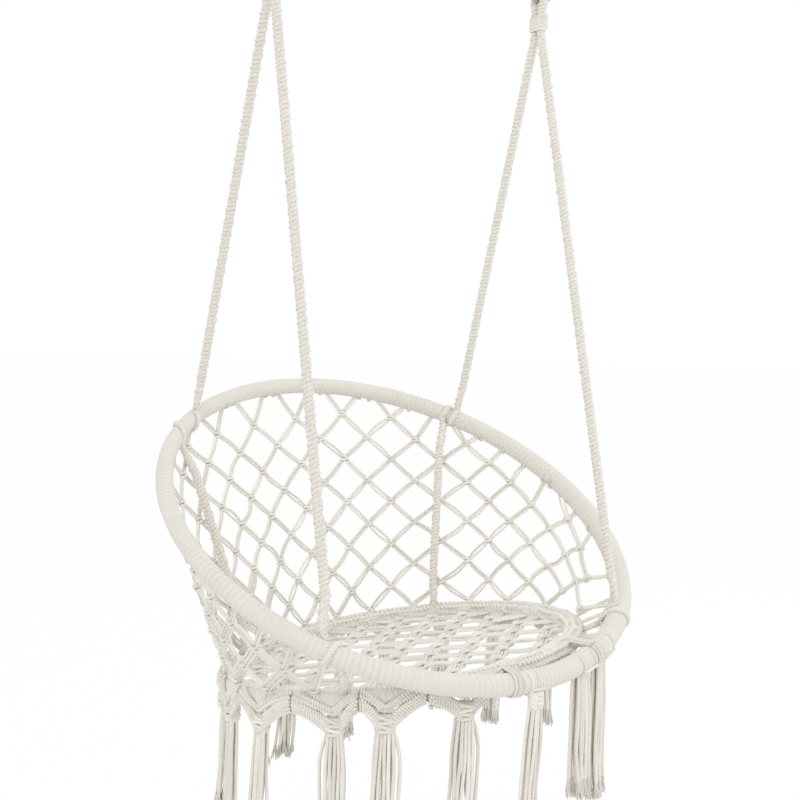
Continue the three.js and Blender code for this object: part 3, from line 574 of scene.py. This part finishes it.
# Net between the hoops. Its columns are numbered around the hoops, its rows from the top down.
net = {
    "firstColumn": -11, "lastColumn": 20, "hoopStart": 72, "hoopStep": 7.45,
    "seatDegrees": (-52, -27, -5, 15.5, 32, 54, 70, 83, 96, 106, 116, 128, 142, 158, 175, 193, 212),
    "firstSeatColumn": -12, "seatRow": 10,
    "pitchFront": 0.0365, "pitchBack": 0.041, "pitchFrom": -4, "pitchTo": 1,
    "panels": (-11, -7, -2, 3, 8, 12, 16, 21), "meeting": 0.8, "edgeReach": 0.12,
    "knot": 0.013, "knotSet": 0.001, "hitchReach": 0.028, "lashingReach": 0.012,
    "hoopClear": 0.001, "seatClear": 0.0014,
    "cord": 0.0023, "sides": 6, "apart": 0.0025, "packed": 0.85, "apartUneven": 0.35, "sag": 0.0015,
    "double": 0.00432, "doubleSlack": 1.3, "doubleRow": 8, "doubleColumn": 7, "hoopSlack": 0.5,
    "linkFrom": 0.00416, "shortest": 0.0065, "knotSize": 1.12, "seatKnotSize": 1.55,
    "seatPitch": 0.041, "seatRim": 0.0234,
    # how far a tie reaches around a sleeve each way, its turns, their cord and pitch
    "hoopTie": (48, 2, 0.0016, 0.0038), "seatTie": (115, 5, 0.0019, 0.0043), "rimTie": (85, 5, 0.0019, 0.0043),
    # rows of hitches along the seat hoop: the place around its sleeve, and the first and last degrees
    "rimRows": ((85, -90, 270), (128, -90, 270), (170, -90, 270), (212, -60, 240), (40, -86, 20), (0, -86, -20)),
    "rimReach": 0.0005, "rimUneven": 0.0008, "rimWander": 5, "rimCord": 0.0027, "rimPitch": 0.0078,
    "rimEvery": 3, "rimSteps": 5, "rimSmooth": 0.008,
    "web": (-76, -69, -61, -53, -45, -37, -29, -21), "webReach": 0.004,
}
# the cord is the solids' own, which the net keeps clear of; it is drawn thinner and in more turns
lashing = {
    "degrees": (-91.5, -65.5), "cord": 0.003, "turns": 6, "drawn": 0.0014, "pitch": 0.0029,
    "wander": 0.2, "lift": (0.6, 1.2), "bigSteps": 14, "smallSteps": 10, "smooth": 0.004, "sides": 8,
}


def columnOnSeat(column):
    place = (column - net["firstSeatColumn"]) / 2
    return float(np.interp(place, range(len(net["seatDegrees"])), net["seatDegrees"]))


def columnOnHoop(column):
    return net["hoopStart"] + net["hoopStep"] * column


def columnEnds(column):
    return onHoop(seatHoop, columnOnSeat(column)), onHoop(backHoop, columnOnHoop(column))


def columnLength(column):
    low, high = columnEnds(column)
    return np.linalg.norm(high - low)


def netPoint(column, distance):
    low, high = columnEnds(column)
    return low + (high - low) * (distance / np.linalg.norm(high - low))


def knotDistance(column, row):
    pitch = np.interp(column, (net["pitchFrom"], net["pitchTo"]), (net["pitchFront"], net["pitchBack"]))
    return chair["seatWrap"] - net["knotSet"] + net["knot"] / 2 + (net["seatRow"] - row) * pitch


def near(degrees, places, length, hoop):
    reach = math.degrees(length / hoop["radius"])
    return any(abs(place - degrees) < reach for place in places)


def besideHitch(degrees):
    return near(degrees, rope["backHitch"] + rope["frontHitch"], net["hitchReach"], backHoop)


def clearOf(hoop, point, standOff):
    degrees = degreesOf(hoop, point)
    return np.linalg.norm(point - onHoop(hoop, degrees)) - hoop["wrap"](degrees) - standOff


def hasKnot(column, row):
    if not net["firstColumn"] <= column <= net["lastColumn"] or row > net["seatRow"]:
        return False
    distance = knotDistance(column, row)
    if distance > columnLength(column):
        return False
    centre, low = netPoint(column, distance), netPoint(column, distance - net["knot"] / 2)
    hoopStand = rope["diameter"] + rope["gap"] * 2 if besideHitch(degreesOf(backHoop, centre)) else 0
    seatDegrees = degreesOf(seatHoop, low)
    seatStand = -net["knotSet"] - net["seatClear"]
    lashed = [degreesOf(seatHoop, onHoop(backHoop, degrees)) for degrees in lashing["degrees"]]
    if near(seatDegrees, lashed, net["lashingReach"], seatHoop):
        seatStand = lashing["cord"] * 2 + rope["gap"] * 2
    if near(seatDegrees, rope["backSeat"], net["hitchReach"], seatHoop):
        seatStand = rope["diameter"] + rope["gap"] * 2
    room = clearOf(backHoop, centre, hoopStand) - net["knot"] - net["hoopClear"]
    return room > 0 and clearOf(seatHoop, low, seatStand) > 0


def netAxes(column, distance):
    across = netPoint(column + 0.5, distance) - netPoint(column - 0.5, distance)
    rise = unit(netPoint(column, distance + net["knot"]) - netPoint(column, distance - net["knot"]))
    normal = unit(np.cross(rise, across))
    return unit(np.cross(normal, rise)), rise, normal


knot = {
    "across": 0.0056, "through": 0.0036, "cord": 0.0023, "apart": 0.0044, "lean": 0.2, "steps": 8,
    "fill": 0.0052, "fillCord": 0.00207, "fillEnd": 0.003128, "fillMiddle": 0.0013685,
}


def addKnot(cords, centre, across, rise, normal, size):
    # a square knot: two loops, one above the other and leaning opposite ways, around two straight cords
    for half in (1, -1):
        middle = centre + rise * half * knot["apart"] / 2 * size
        side = (across + rise * half * knot["lean"]) * knot["across"] * size
        loop = arc(middle, side, normal * knot["through"] * size, np.linspace(0, 360, knot["steps"], False))
        addCord(cords, loop, knot["cord"] * size, True)
    for side in (1, -1):
        beside, up = across * side * knot["fillEnd"], rise * knot["fill"]
        middle = centre + across * side * knot["fillMiddle"]
        addCord(cords, [centre - up + beside, middle, centre + up + beside], knot["fillCord"])


def addLink(cords, start, end, normal, slack=1.0, double=False):
    # two cords side by side, with a little slack of their own, or two such pairs
    along = unit(end - start)
    side = np.cross(normal, along)
    if double:
        for half in (1, -1):
            shift = side * half * net["double"]
            addLink(cords, start + shift, end + shift, normal, slack * net["doubleSlack"])
        return
    gap = net["apart"] * (1 + abs(dice.gauss(0, net["apartUneven"])))
    sag = dice.gauss(0, net["sag"]) * slack
    swing = dice.gauss(0, net["sag"]) * slack
    for half in (1, -1):
        points = []
        for share in (0, 0.2, 0.4, 0.6, 0.8, 1):
            belly = math.sin(math.pi * share)
            width = half * (net["apart"] * net["packed"] + (gap - net["apart"]) * belly)
            aside = side * (width + swing * belly) + normal * sag * belly
            points.append(start + (end - start) * share + aside)
        addCord(cords, points, net["cord"])


tie = {"set": 0.55, "steps": 8, "barSteps": 3, "barAt": -0.3, "barOver": 0.2, "barCord": 0.9}


def addTie(cords, hoop, degrees, facing, reachDegrees, turns, size, pitch):
    # the lark's head by which cords hold a sleeve: turns over it and a bar across them
    centre, along = onHoop(hoop, degrees), alongOf(hoop, degrees)
    facing = unit(facing - along * (facing @ along))
    beside = np.cross(along, facing)
    reach = hoop["wrap"](degrees) + size * tie["set"]
    for turn in range(turns):
        middle = centre + along * (turn - (turns - 1) / 2) * pitch
        angles = np.linspace(-reachDegrees, reachDegrees, tie["steps"] + 1)
        addCord(cords, arc(middle, facing * reach, beside * reach, angles), size)
    across, out = turned(reachDegrees * tie["barAt"])
    middle = centre + (facing * across + beside * out) * (reach + size * tie["barCord"])
    half = along * pitch * (turns + tie["barOver"]) / 2
    bar = [middle + half * place for place in np.linspace(-1, 1, tie["barSteps"] + 1)]
    addCord(cords, bar, size * tie["barCord"])


def addBackPanel(index, first, after):
    cords = []
    for column in range(first, after):
        row = net["seatRow"]
        while knotDistance(column, row) < columnLength(column):
            if (column + row) % 2 == 0 and hasKnot(column, row):
                distance = knotDistance(column, row)
                centre = netPoint(column, distance)
                across, rise, normal = netAxes(column, distance)
                addKnot(cords, centre, across, rise, normal, net["knotSize"])
                for step in (1, -1):
                    addUpLink(cords, column, row, step, centre, normal)
                if row == net["seatRow"]:
                    degrees = columnOnSeat(column)
                    addTie(cords, seatHoop, degrees, centre - onHoop(seatHoop, degrees), *net["seatTie"])
            row -= 1
    name = "back_net_panel_" + str(index + 1)
    addPiece(name + "_cords", meshOf(name, cords, net["sides"]), netCotton, [name])


def addUpLink(cords, column, row, step, centre, normal):
    # from a knot to the next one up, or where there is none to the large hoop
    following = column + step
    double = row >= net["doubleRow"] and column >= net["doubleColumn"]
    if hasKnot(following, row - 1):
        target = netPoint(following, knotDistance(following, row - 1))
        run = unit(target - centre) * net["linkFrom"]
        addLink(cords, centre + run, target - run, normal, double=double)
        return
    degrees = columnOnHoop(column + step * net["meeting"])
    if not net["firstColumn"] <= following <= net["lastColumn"]:
        degrees = degreesOf(backHoop, centre)
        if np.linalg.norm(onHoop(backHoop, degrees) - centre) > net["edgeReach"]:
            return
    target = onHoop(backHoop, degrees)
    along = unit(target - centre)
    end = target - along * backHoop["wrap"](degrees)
    if (end - centre) @ along > net["shortest"]:
        addLink(cords, centre + along * net["linkFrom"], end, normal, net["hoopSlack"])
    if not besideHitch(degrees):
        addTie(cords, backHoop, degrees, -along, *net["hoopTie"])


for index, (first, after) in enumerate(zip(net["panels"][:-1], net["panels"][1:])):
    addBackPanel(index, first, after)
print("back net knotted")


def addRim(cords):
    # hitches side by side cover the seat hoop's sleeve inside and on top
    for around, first, last in net["rimRows"]:
        line = []
        for degrees in range(first, last + 1, net["rimEvery"]):
            reach = chair["seatWrap"] + net["rimReach"] + dice.uniform(-1, 1) * net["rimUneven"]
            across, rise = turned(around + dice.uniform(-1, 1) * net["rimWander"])
            facing = outwardOf(seatHoop, degrees) * across + seatHoop["up"] * rise
            line.append(onHoop(seatHoop, degrees) + facing * reach)
        line = smoothPath(line, net["rimSmooth"])
        addHitchRow(cords, line, net["rimCord"], net["rimPitch"], net["rimSteps"])


def addWeb(cords):
    # links that close the corner between the two hoops at the right of the front
    for degrees in net["web"]:
        low = onHoop(seatHoop, degrees)
        nearest = degreesOf(backHoop, low)
        high = onHoop(backHoop, nearest)
        along, apart = unit(high - low), np.linalg.norm(high - low)
        start, end = chair["seatWrap"] - net["webReach"], apart - backHoop["wrap"](nearest) + net["webReach"]
        if end - start > net["shortest"]:
            addLink(cords, low + along * start, low + along * end, seatHoop["up"], net["hoopSlack"], True)


def addSeatNet():
    cords = []
    pitch, normal = net["seatPitch"], -seatHoop["up"]
    across, rise = seatHoop["side"], seatHoop["back"]
    reach = seatHoop["radius"] - chair["seatWrap"] - net["seatRim"]
    limit = math.ceil(reach / pitch)
    place = lambda i, j: seatHoop["centre"] + across * i * pitch + rise * j * pitch
    inside = lambda i, j: math.hypot(i, j) * pitch < reach
    for i in range(-limit, limit + 1):
        for j in range(-limit, limit + 1):
            if (i + j) % 2 or not inside(i, j):
                continue
            centre = place(i, j)
            addKnot(cords, centre, across, rise, normal, net["seatKnotSize"])
            for di, dj in ((1, 1), (-1, 1), (1, -1), (-1, -1)):
                target = place(i + di, j + dj)
                if inside(i + di, j + dj):
                    if dj > 0:
                        run = unit(target - centre) * net["linkFrom"]
                        addLink(cords, centre + run, target - run, normal, double=True)
                    continue
                degrees = degreesOf(seatHoop, centre + (target - centre) * net["meeting"])
                rim = onHoop(seatHoop, degrees)
                along = unit(rim - centre)
                start, end = centre + along * net["linkFrom"], rim - along * chair["seatWrap"]
                addLink(cords, start, end, normal, net["hoopSlack"], True)
                addTie(cords, seatHoop, degrees, seatHoop["up"] - along, *net["rimTie"])
    addRim(cords)
    addWeb(cords)
    addPiece("seat_net_cords", meshOf("seat_net", cords, net["sides"]), netCotton, ["seat_net"])


# Skirt and tassels under the hoops
skirt = {
    # places along the seat hoop; some are a few degrees beside their solids, as the photo shows them
    "degrees": (-4, 22, 43, 63, 80, 103.5, 116.5, 141, 154, 172, 191.5, 218.7, 233.5, 256.5), "length": 0.215,
    "bandless": (2, 7), "narrow": {6: 0.6, 7: 0.75}, "short": {0: 0.02, 1: 0.004, 2: 0.03},
    # under the back hoop: place, size, with a head or plain, and how much shorter
    "hoopTassels": ((-86.7, 0.75, True, 0), (-70, 1.6, False, 0.008), (-61.6, 1.6, False, -0.018)),
    "hoopRise": 0.012, "hoopOut": 0.006, "plainDrop": 0.012, "tieOut": 0.6,
    "headTie": (125, 5, 0.0023, 0.0049), "plainTie": (125, 7, 0.0023, 0.0049),
    "hangers": (-0.0075, -0.0025, 0.0025, 0.0075), "hangerTop": 0.9, "hangerSpread": 1.15, "hangerIn": 0.003,
    "headDrop": 0.024, "headHeight": 0.025, "headAcross": 0.0122, "headDeep": 0.0098, "out": 0.006,
    "headCord": 0.0029, "headTurns": 4, "headSteps": 12, "headEnd": 0.9, "headSwell": 0.16, "headLow": 0.7,
    "headTip": 0.12, "headCross": 0.16, "core": 0.00833, "coreAcross": 0.006, "coreOver": 0.003, "coreUnder": 0.002,
    # rows of hitches beside a head: where each one meets the next tassel's and where it starts below the hoop
    "apex": (-0.95, -0.6, -0.25, 0.1, 0.48, 0.85), "foot": (0.011, 0.0175, 0.0245, 0.0305, 0.036, 0.0415),
    "hitchCord": 0.0019, "hitchPitch": 0.0044, "hitchSteps": 8, "hitchSmooth": 0.006, "hitchReach": 0.0022,
    "arch": 1.5, "margin": 0.35, "beside": 0.8, "clear": 0.003, "topShare": 0.98, "footOut": 0.011, "turnIn": 0.7,
    "cord": 0.0028, "strands": 10, "rows": 2, "wide": 0.0125, "rowStep": 0.0078, "rowUneven": 0.0008,
    "strandsFrom": 0.02, "gathered": 0.8, "gatherRate": 3, "spread": 1.12, "uneven": 0.035, "lean": 0.02,
    "wave": (0.001, 0.003), "waveRate": 7, "smooth": 0.012,
    "loose": {11: -1, 12: 1, 13: 1}, "looseShare": 0.95, "looseFrom": 0.01, "looseWide": 0.013, "looseSmooth": 0.01,
    "bow": ((0, 0), (0.1, 0.5), (0.28, 0.95), (0.55, 0.9), (0.8, 0.75), (1, 0.8)),
    "frays": 9, "frayCord": 0.0011, "frayLength": 0.028, "frayRange": (0.75, 1.1), "frayOver": 0.9,
    "frayFlare": 0.0032, "flareRange": (0.6, 1.25), "frayTurn": 20, "frayRoot": 0.004, "frayInset": 0.45,
    "frayBend": (0.4, 0.25), "sides": 8, "fraySides": 4, "steps": 8,
}


def level(vector):
    return unit(vec(vector[0], vector[1], 0))


def addFray(cords, tip, down, across, outward):
    # the end of a strand comes apart into fine yarns
    bendAt, bendOut = skirt["frayBend"]
    for index in range(skirt["frays"]):
        side, out = turned(360 * index / skirt["frays"] + dice.uniform(-skirt["frayTurn"], skirt["frayTurn"]))
        flare = skirt["frayFlare"] * dice.uniform(*skirt["flareRange"])
        long = skirt["frayLength"] * dice.uniform(*skirt["frayRange"])
        aside = across * side + outward * out
        root = tip - down * skirt["frayRoot"] + aside * skirt["cord"] * skirt["frayInset"]
        bend = root + down * long * bendAt + aside * flare * bendOut
        addCord(cords, [root, bend, root + down * long + aside * flare], skirt["frayCord"])


def addStrands(cords, frays, top, outward, across, length, loose, size):
    down = -upward
    lean = vec(dice.gauss(0, skirt["lean"]), dice.gauss(0, skirt["lean"]), 0)
    perRow = round(skirt["strands"] * size / skirt["rows"])
    for row in range(skirt["rows"]):
        for place in range(perRow):
            x = (place / (perRow - 1) * 2 - 1) * skirt["wide"] * size + (row - 0.5) * skirt["cord"]
            y = (row - (skirt["rows"] - 1) / 2) * skirt["rowStep"] + dice.gauss(0, skirt["rowUneven"])
            long = length * (1 - abs(dice.gauss(0, skirt["uneven"]))) - skirt["frayLength"] * skirt["frayOver"]
            phase, bend = dice.uniform(0, math.tau), dice.uniform(*skirt["wave"])
            points = []
            for share in np.linspace(0, 1, skirt["steps"] + 1):
                wide = skirt["gathered"] + (1 - skirt["gathered"]) * min(1, share * skirt["gatherRate"])
                wide += (skirt["spread"] - 1) * share
                wave = bend * math.sin(phase + share * skirt["waveRate"]) * share
                aside = across * (x * wide + wave) + outward * (y * wide + wave * math.cos(phase))
                points.append(top + down * long * share + aside + lean * share * length)
            addCord(cords, smoothPath(points, skirt["smooth"]), skirt["cord"])
            addFray(frays, points[-1], unit(points[-1] - points[-2]), across, outward)
    if loose:
        points = []
        for share, bow in skirt["bow"]:
            aside = across * loose * (skirt["looseFrom"] + bow * skirt["looseWide"])
            points.append(top + down * length * skirt["looseShare"] * share + aside)
        addCord(cords, smoothPath(points, skirt["looseSmooth"]), skirt["cord"])
        addFray(frays, points[-1], down, across, outward)


def addHead(cords, top, outward, across, size):
    # the gathering turns around a tassel's head, each leaning against the next
    pitch = skirt["headHeight"] / skirt["headTurns"]
    for turn in range(skirt["headTurns"]):
        middle = math.sin(math.pi * (turn + skirt["headLow"]) / skirt["headTurns"])
        bulge = size * (skirt["headEnd"] + skirt["headSwell"] * middle)
        cross = skirt["headCross"] if turn % 2 else -skirt["headCross"]
        tip = dice.uniform(-skirt["headTip"], skirt["headTip"]) + cross
        side, out = (across * bulge + upward * tip) * skirt["headAcross"], outward * skirt["headDeep"] * bulge
        angles = np.linspace(0, 360, skirt["headSteps"], False)
        addCord(cords, arc(top - upward * (turn + 0.5) * pitch, side, out, angles), skirt["headCord"], True)
    lifts = (skirt["coreOver"], -skirt["headHeight"] / 2, -skirt["headHeight"] - skirt["coreUnder"])
    for place in (-1, 0, 1):
        shift = across * place * skirt["coreAcross"] * size
        addCord(cords, [top + upward * lift + shift for lift in lifts], skirt["core"])


def addHitchRow(cords, line, cord, pitch, steps):
    # double half hitches: one cord wound close along another
    line = np.array(line)
    far = lengthsAlong(line)
    first, second = carriedAxes(line)
    places = np.linspace(0, far[-1], max(steps, int(far[-1] / pitch * steps)))
    centre, first, second = (alongLine(line, far, places, values) for values in (line, first, second))
    turn = math.tau * places / pitch
    points = centre + skirt["hitchReach"] * spun(turn, first, second)
    addCord(cords, points, cord)
    addCord(cords, line, skirt["hitchReach"])


def bandEnds(index):
    degrees = skirt["degrees"]
    here = degrees[index]
    before = (here - degrees[index - 1]) / 2 if index else (degrees[1] - here) / 2
    after = (degrees[index + 1] - here) / 2 if index < len(degrees) - 1 else before
    return here - before + skirt["margin"], here + after - skirt["margin"]


def overSleeve(degrees, drop):
    # a point on the outer face of the seat hoop's sleeve, or under it towards a tassel's head
    reach = chair["seatWrap"] + skirt["clear"]
    turnIn = reach * skirt["turnIn"]
    if drop < turnIn:
        out = math.sqrt(reach**2 - min(abs(drop), reach * skirt["topShare"]) ** 2)
    else:
        share = min(1, (drop - turnIn) / (skirt["headDrop"] - turnIn))
        edge = math.sqrt(reach**2 - turnIn**2)
        out = edge + (skirt["footOut"] - edge) * share
    return onHoop(seatHoop, degrees) + level(outwardOf(seatHoop, degrees)) * out - upward * drop


def addScallop(cords, index):
    # on each side of the head rows of hitches run up over the sleeve and meet those of the next tassel
    here = skirt["degrees"][index]
    beside = math.degrees(skirt["headAcross"] * skirt["beside"] / seatHoop["radius"])
    for end in bandEnds(index):
        way = 1 if end > here else -1
        for apex, foot in zip(skirt["apex"], skirt["foot"]):
            top, start = apex * chair["seatWrap"], beside * way if foot > skirt["headDrop"] else 0
            line = []
            for share in np.linspace(0, 1, skirt["steps"] + 1):
                degrees = here + start + (end - here - start) * share
                line.append(overSleeve(degrees, top + (foot - top) * (1 - share) ** skirt["arch"]))
            line = smoothPath(line, skirt["hitchSmooth"])
            addHitchRow(cords, line, skirt["hitchCord"], skirt["hitchPitch"], skirt["hitchSteps"])


def addTassel(name, hoop, degrees, length, scallop=None, loose=0, size=1, headed=True):
    # the scallop is the number of a seat tassel that has rows of hitches beside its head
    cords, frays = [], []
    anchor = onHoop(hoop, degrees)
    outward = level(outwardOf(hoop, degrees))
    across = np.cross(upward, outward)
    raised, further = (skirt["hoopRise"], skirt["hoopOut"]) if hoop is backHoop else (0, 0)
    head = anchor - upward * (skirt["headDrop"] - raised) + outward * (skirt["out"] + further)
    if headed:
        addHead(cords, head, outward, across, size)
        top, length = head - upward * skirt["strandsFrom"], length + raised
    else:
        top, length = anchor - upward * skirt["plainDrop"], length + plainGain
    addStrands(cords, frays, top, outward, across, length, loose, size)
    if scallop is not None:
        addScallop(cords, scallop)
    elif headed:
        high = anchor - upward * hoop["wrap"](degrees) * skirt["hangerTop"]
        for shift in skirt["hangers"]:
            start = high + alongOf(hoop, degrees) * shift * skirt["hangerSpread"]
            addCord(cords, [start, head + across * shift - upward * skirt["hangerIn"]], net["cord"])
    if hoop is backHoop:
        kind = skirt["headTie"] if headed else skirt["plainTie"]
        addTie(cords, hoop, degrees, outward * skirt["tieOut"] - upward, *kind)
    addPiece(name + "_cords", joined(name, cords, frays), tasselCotton, [name])


def joined(name, cords, frays):
    # the thick cords and the fine yarns of one tassel in one mesh
    thick = meshOf(name, cords, skirt["sides"])
    fine = meshOf(name + "_yarn", frays, skirt["fraySides"])
    shell = bmesh.new()
    shell.from_mesh(thick)
    shell.from_mesh(fine)
    shell.to_mesh(thick)
    shell.free()
    bpy.data.meshes.remove(fine)
    return thick


headLength = skirt["headDrop"] + skirt["strandsFrom"]
plainGain = headLength - skirt["plainDrop"]
strandLength = skirt["length"] - headLength
for index, degrees in enumerate(skirt["degrees"]):
    scallop = None if index in skirt["bandless"] else index
    length, size = strandLength - skirt["short"].get(index, 0), skirt["narrow"].get(index, 1)
    name = "seat_tassel_" + str(index + 1).zfill(2)
    addTassel(name, seatHoop, degrees, length, scallop, skirt["loose"].get(index, 0), size)
for index, (degrees, size, headed, shorter) in enumerate(skirt["hoopTassels"]):
    name = "hoop_tassel_" + str(index + 1)
    addTassel(name, backHoop, degrees, strandLength - shorter, size=size, headed=headed)
print("tassels tied")


# The seat net comes after the skirt, whose way of laying hitches it uses on its rim
addSeatNet()
print("seat net knotted")


# Cords lashed around both hoops at the front
def addLashing(index, degrees):
    big, along = onHoop(backHoop, degrees), alongOf(backHoop, degrees)
    toSmall = onHoop(seatHoop, levelSeatDegrees(big, along)) - big
    toSmall = toSmall - along * (toSmall @ along)
    apart, first = np.linalg.norm(toSmall), unit(toSmall)
    second = np.cross(along, first)
    cords = []
    for turn in range(lashing["turns"]):
        place = turn - (lashing["turns"] - 1) / 2 + dice.uniform(-lashing["wander"], lashing["wander"])
        shift = along * place * lashing["pitch"]
        clear = lashing["drawn"] * dice.uniform(*lashing["lift"])
        bigReach, smallReach = backHoop["wrap"](degrees) + clear, chair["seatWrap"] + clear
        lean = math.degrees(math.acos((bigReach - smallReach) / apart))
        bigArc = np.linspace(lean, 360 - lean, lashing["bigSteps"] + 1)
        smallArc = np.linspace(-lean, lean, lashing["smallSteps"] + 1)
        points = arc(big + shift, first * bigReach, second * bigReach, bigArc)
        points += arc(big + first * apart + shift, first * smallReach, second * smallReach, smallArc)
        addCord(cords, smoothPath(points, lashing["smooth"], True), lashing["drawn"], True)
    name = "hoop_lashing_" + str(index + 1)
    addPiece(name + "_cords", meshOf(name, cords, lashing["sides"]), woundCotton, [name])


def levelSeatDegrees(point, along):
    # where the seat hoop crosses the plane through a point, square to a line, found in a few tries
    degrees = degreesOf(seatHoop, point)
    for turn in range(8):
        miss = (onHoop(seatHoop, degrees) - point) @ along
        run = (onHoop(seatHoop, degrees + 1) - onHoop(seatHoop, degrees)) @ along
        degrees -= miss / run
    return degrees


for index, degrees in enumerate(lashing["degrees"]):
    addLashing(index, degrees)
print("hoops lashed")


# Steel
steel = {
    # each steel's colour, roughness and scale of its grain
    "ring": ((0.56, 0.57, 0.58), 0.28, 260), "tube": ((0.18, 0.18, 0.19), 0.45, 90),
    "stretch": (1, 1, 6), "grainDetail": 4, "smoother": 0.08, "rougher": 0.12, "dark": 0.9, "scratch": 0.00008,
    "wireSides": 20, "ringSteps": 72,
}


def steelMaterial(kind):
    colour, roughness, grainScale = steel[kind]
    material, nodes, links, shader = startMaterial(kind + "_steel")
    place = addNode(nodes, "TexCoord")
    stretch = addNode(nodes, "Mapping", {"Scale": steel["stretch"]})
    grain = addNode(nodes, "TexNoise", {"Scale": grainScale, "Detail": steel["grainDetail"]})
    links.new(place.outputs["Object"], stretch.inputs["Vector"])
    links.new(stretch.outputs["Vector"], grain.inputs["Vector"])
    limits = {"To Min": roughness - steel["smoother"], "To Max": roughness + steel["rougher"]}
    ramp = addNode(nodes, "MapRange", limits)
    links.new(grain.outputs["Fac"], ramp.inputs["Value"])
    links.new(ramp.outputs["Result"], shader.inputs["Roughness"])
    tint = addNode(nodes, "Mix")
    tint.data_type = "RGBA"
    tint.inputs["A"].default_value = (*(part * steel["dark"] for part in colour), 1)
    tint.inputs["B"].default_value = (*colour, 1)
    links.new(grain.outputs["Fac"], tint.inputs["Factor"])
    links.new(tint.outputs["Result"], shader.inputs["Base Color"])
    setInputs(shader, {"Metallic": 1})
    bump = addNode(nodes, "Bump", {"Distance": steel["scratch"]})
    links.new(grain.outputs["Fac"], bump.inputs["Height"])
    links.new(bump.outputs["Normal"], shader.inputs["Normal"])
    return material


ringSteel, tubeSteel = steelMaterial("ring"), steelMaterial("tube")


def addRing(side, x):
    radius = (chair["ringOuter"] - chair["ringWire"]) / 2
    centre = vec(x, 0, chair["ringWire"] / 2 - radius)
    shell = bmesh.new()
    section = bmesh.ops.create_circle(shell, segments=steel["wireSides"], radius=chair["ringWire"] / 2)
    for vertex in section["verts"]:
        vertex.co = Vector(centre + vec(radius + vertex.co.x, vertex.co.y, 0))
    bmesh.ops.spin(
        shell, geom=list(shell.verts) + list(shell.edges), cent=Vector(centre), axis=(0, 1, 0), dvec=(0, 0, 0),
        angle=math.tau, steps=steel["ringSteps"], use_merge=True,
    )
    mesh = bpy.data.meshes.new("ring")
    shell.to_mesh(mesh)
    shell.free()
    name = "hanging_ring_" + side
    addPiece(name + "_steel", mesh, ringSteel, [name], "hanging_rings")


addRing("right", chair["ringSpan"] / 2)
addRing("left", -chair["ringSpan"] / 2)
for name in ("back_hoop_tube", "seat_hoop_tube"):
    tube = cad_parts[name]
    tube.data.materials.clear()
    tube.data.materials.append(tubeSteel)
print("steel polished")

# Light and floor
studio = {
    "floorZ": -1.66, "floorSize": 80, "floorColour": 0.9, "floorRoughness": 0.9, "floorWhite": 0.93, "world": 0.98,
    # each lamp's name, place, size and power
    "lamps": (("key", (-2.6, -2.4, 1.6), 2.4, 24), ("fill", (3, -1.2, 0.6), 2.6, 20)), "target": (0, 0, -0.9),
}


def whiteToCamera(nodes, links, lit, strength):
    # camera, glossy and transmission rays see plain white beside the lit surface
    maths = mathsIn(nodes, links)
    path = addNode(nodes, "LightPath")
    either = maths("MAXIMUM", path.outputs["Is Camera Ray"], path.outputs["Is Glossy Ray"])
    every = maths("MAXIMUM", either, path.outputs["Is Transmission Ray"])
    mix = addNode(nodes, "MixShader")
    links.new(maths("MULTIPLY", every, strength), mix.inputs["Fac"])
    links.new(lit, mix.inputs[1])
    return mix


def addWorld():
    world = bpy.data.worlds.new("studio")
    bpy.context.scene.world = world
    world.use_nodes = True
    nodes, links = world.node_tree.nodes, world.node_tree.links
    plain = nodes["Background"]
    setInputs(plain, {"Color": (1, 1, 1, 1), "Strength": studio["world"]})
    white = addNode(nodes, "Background", {"Color": (1, 1, 1, 1)})
    mix = whiteToCamera(nodes, links, plain.outputs["Background"], 1)
    links.new(white.outputs["Background"], mix.inputs[2])
    links.new(mix.outputs["Shader"], nodes["World Output"].inputs["Surface"])


def addFloor():
    shell = bmesh.new()
    bmesh.ops.create_grid(shell, x_segments=2, y_segments=2, size=studio["floorSize"] / 2)
    bmesh.ops.translate(shell, verts=shell.verts, vec=(0, 0, studio["floorZ"]))
    mesh = bpy.data.meshes.new("floor")
    shell.to_mesh(mesh)
    shell.free()
    material, nodes, links, shader = startMaterial("floor_white")
    colour = (*[studio["floorColour"]] * 3, 1)
    setInputs(shader, {"Base Color": colour, "Roughness": studio["floorRoughness"], "Specular IOR Level": 0})
    glow = addNode(nodes, "Emission")
    mix = whiteToCamera(nodes, links, shader.outputs["BSDF"], studio["floorWhite"])
    links.new(glow.outputs["Emission"], mix.inputs[2])
    links.new(mix.outputs["Shader"], nodes["Material Output"].inputs["Surface"])
    mesh.materials.append(material)
    floor = placed("floor", mesh)


def addLamp(name, place, size, power):
    data = bpy.data.lights.new(name, "AREA")
    data.size, data.energy = size, power
    lamp = placed(name, data)
    lamp.location = place
    lamp.rotation_euler = (Vector(studio["target"]) - Vector(place)).to_track_quat("-Z", "Y").to_euler()


bpy.context.scene.view_settings.view_transform = "Standard"
addWorld()
addFloor()
for lamp in studio["lamps"]:
    addLamp(*lamp)
print("lit")
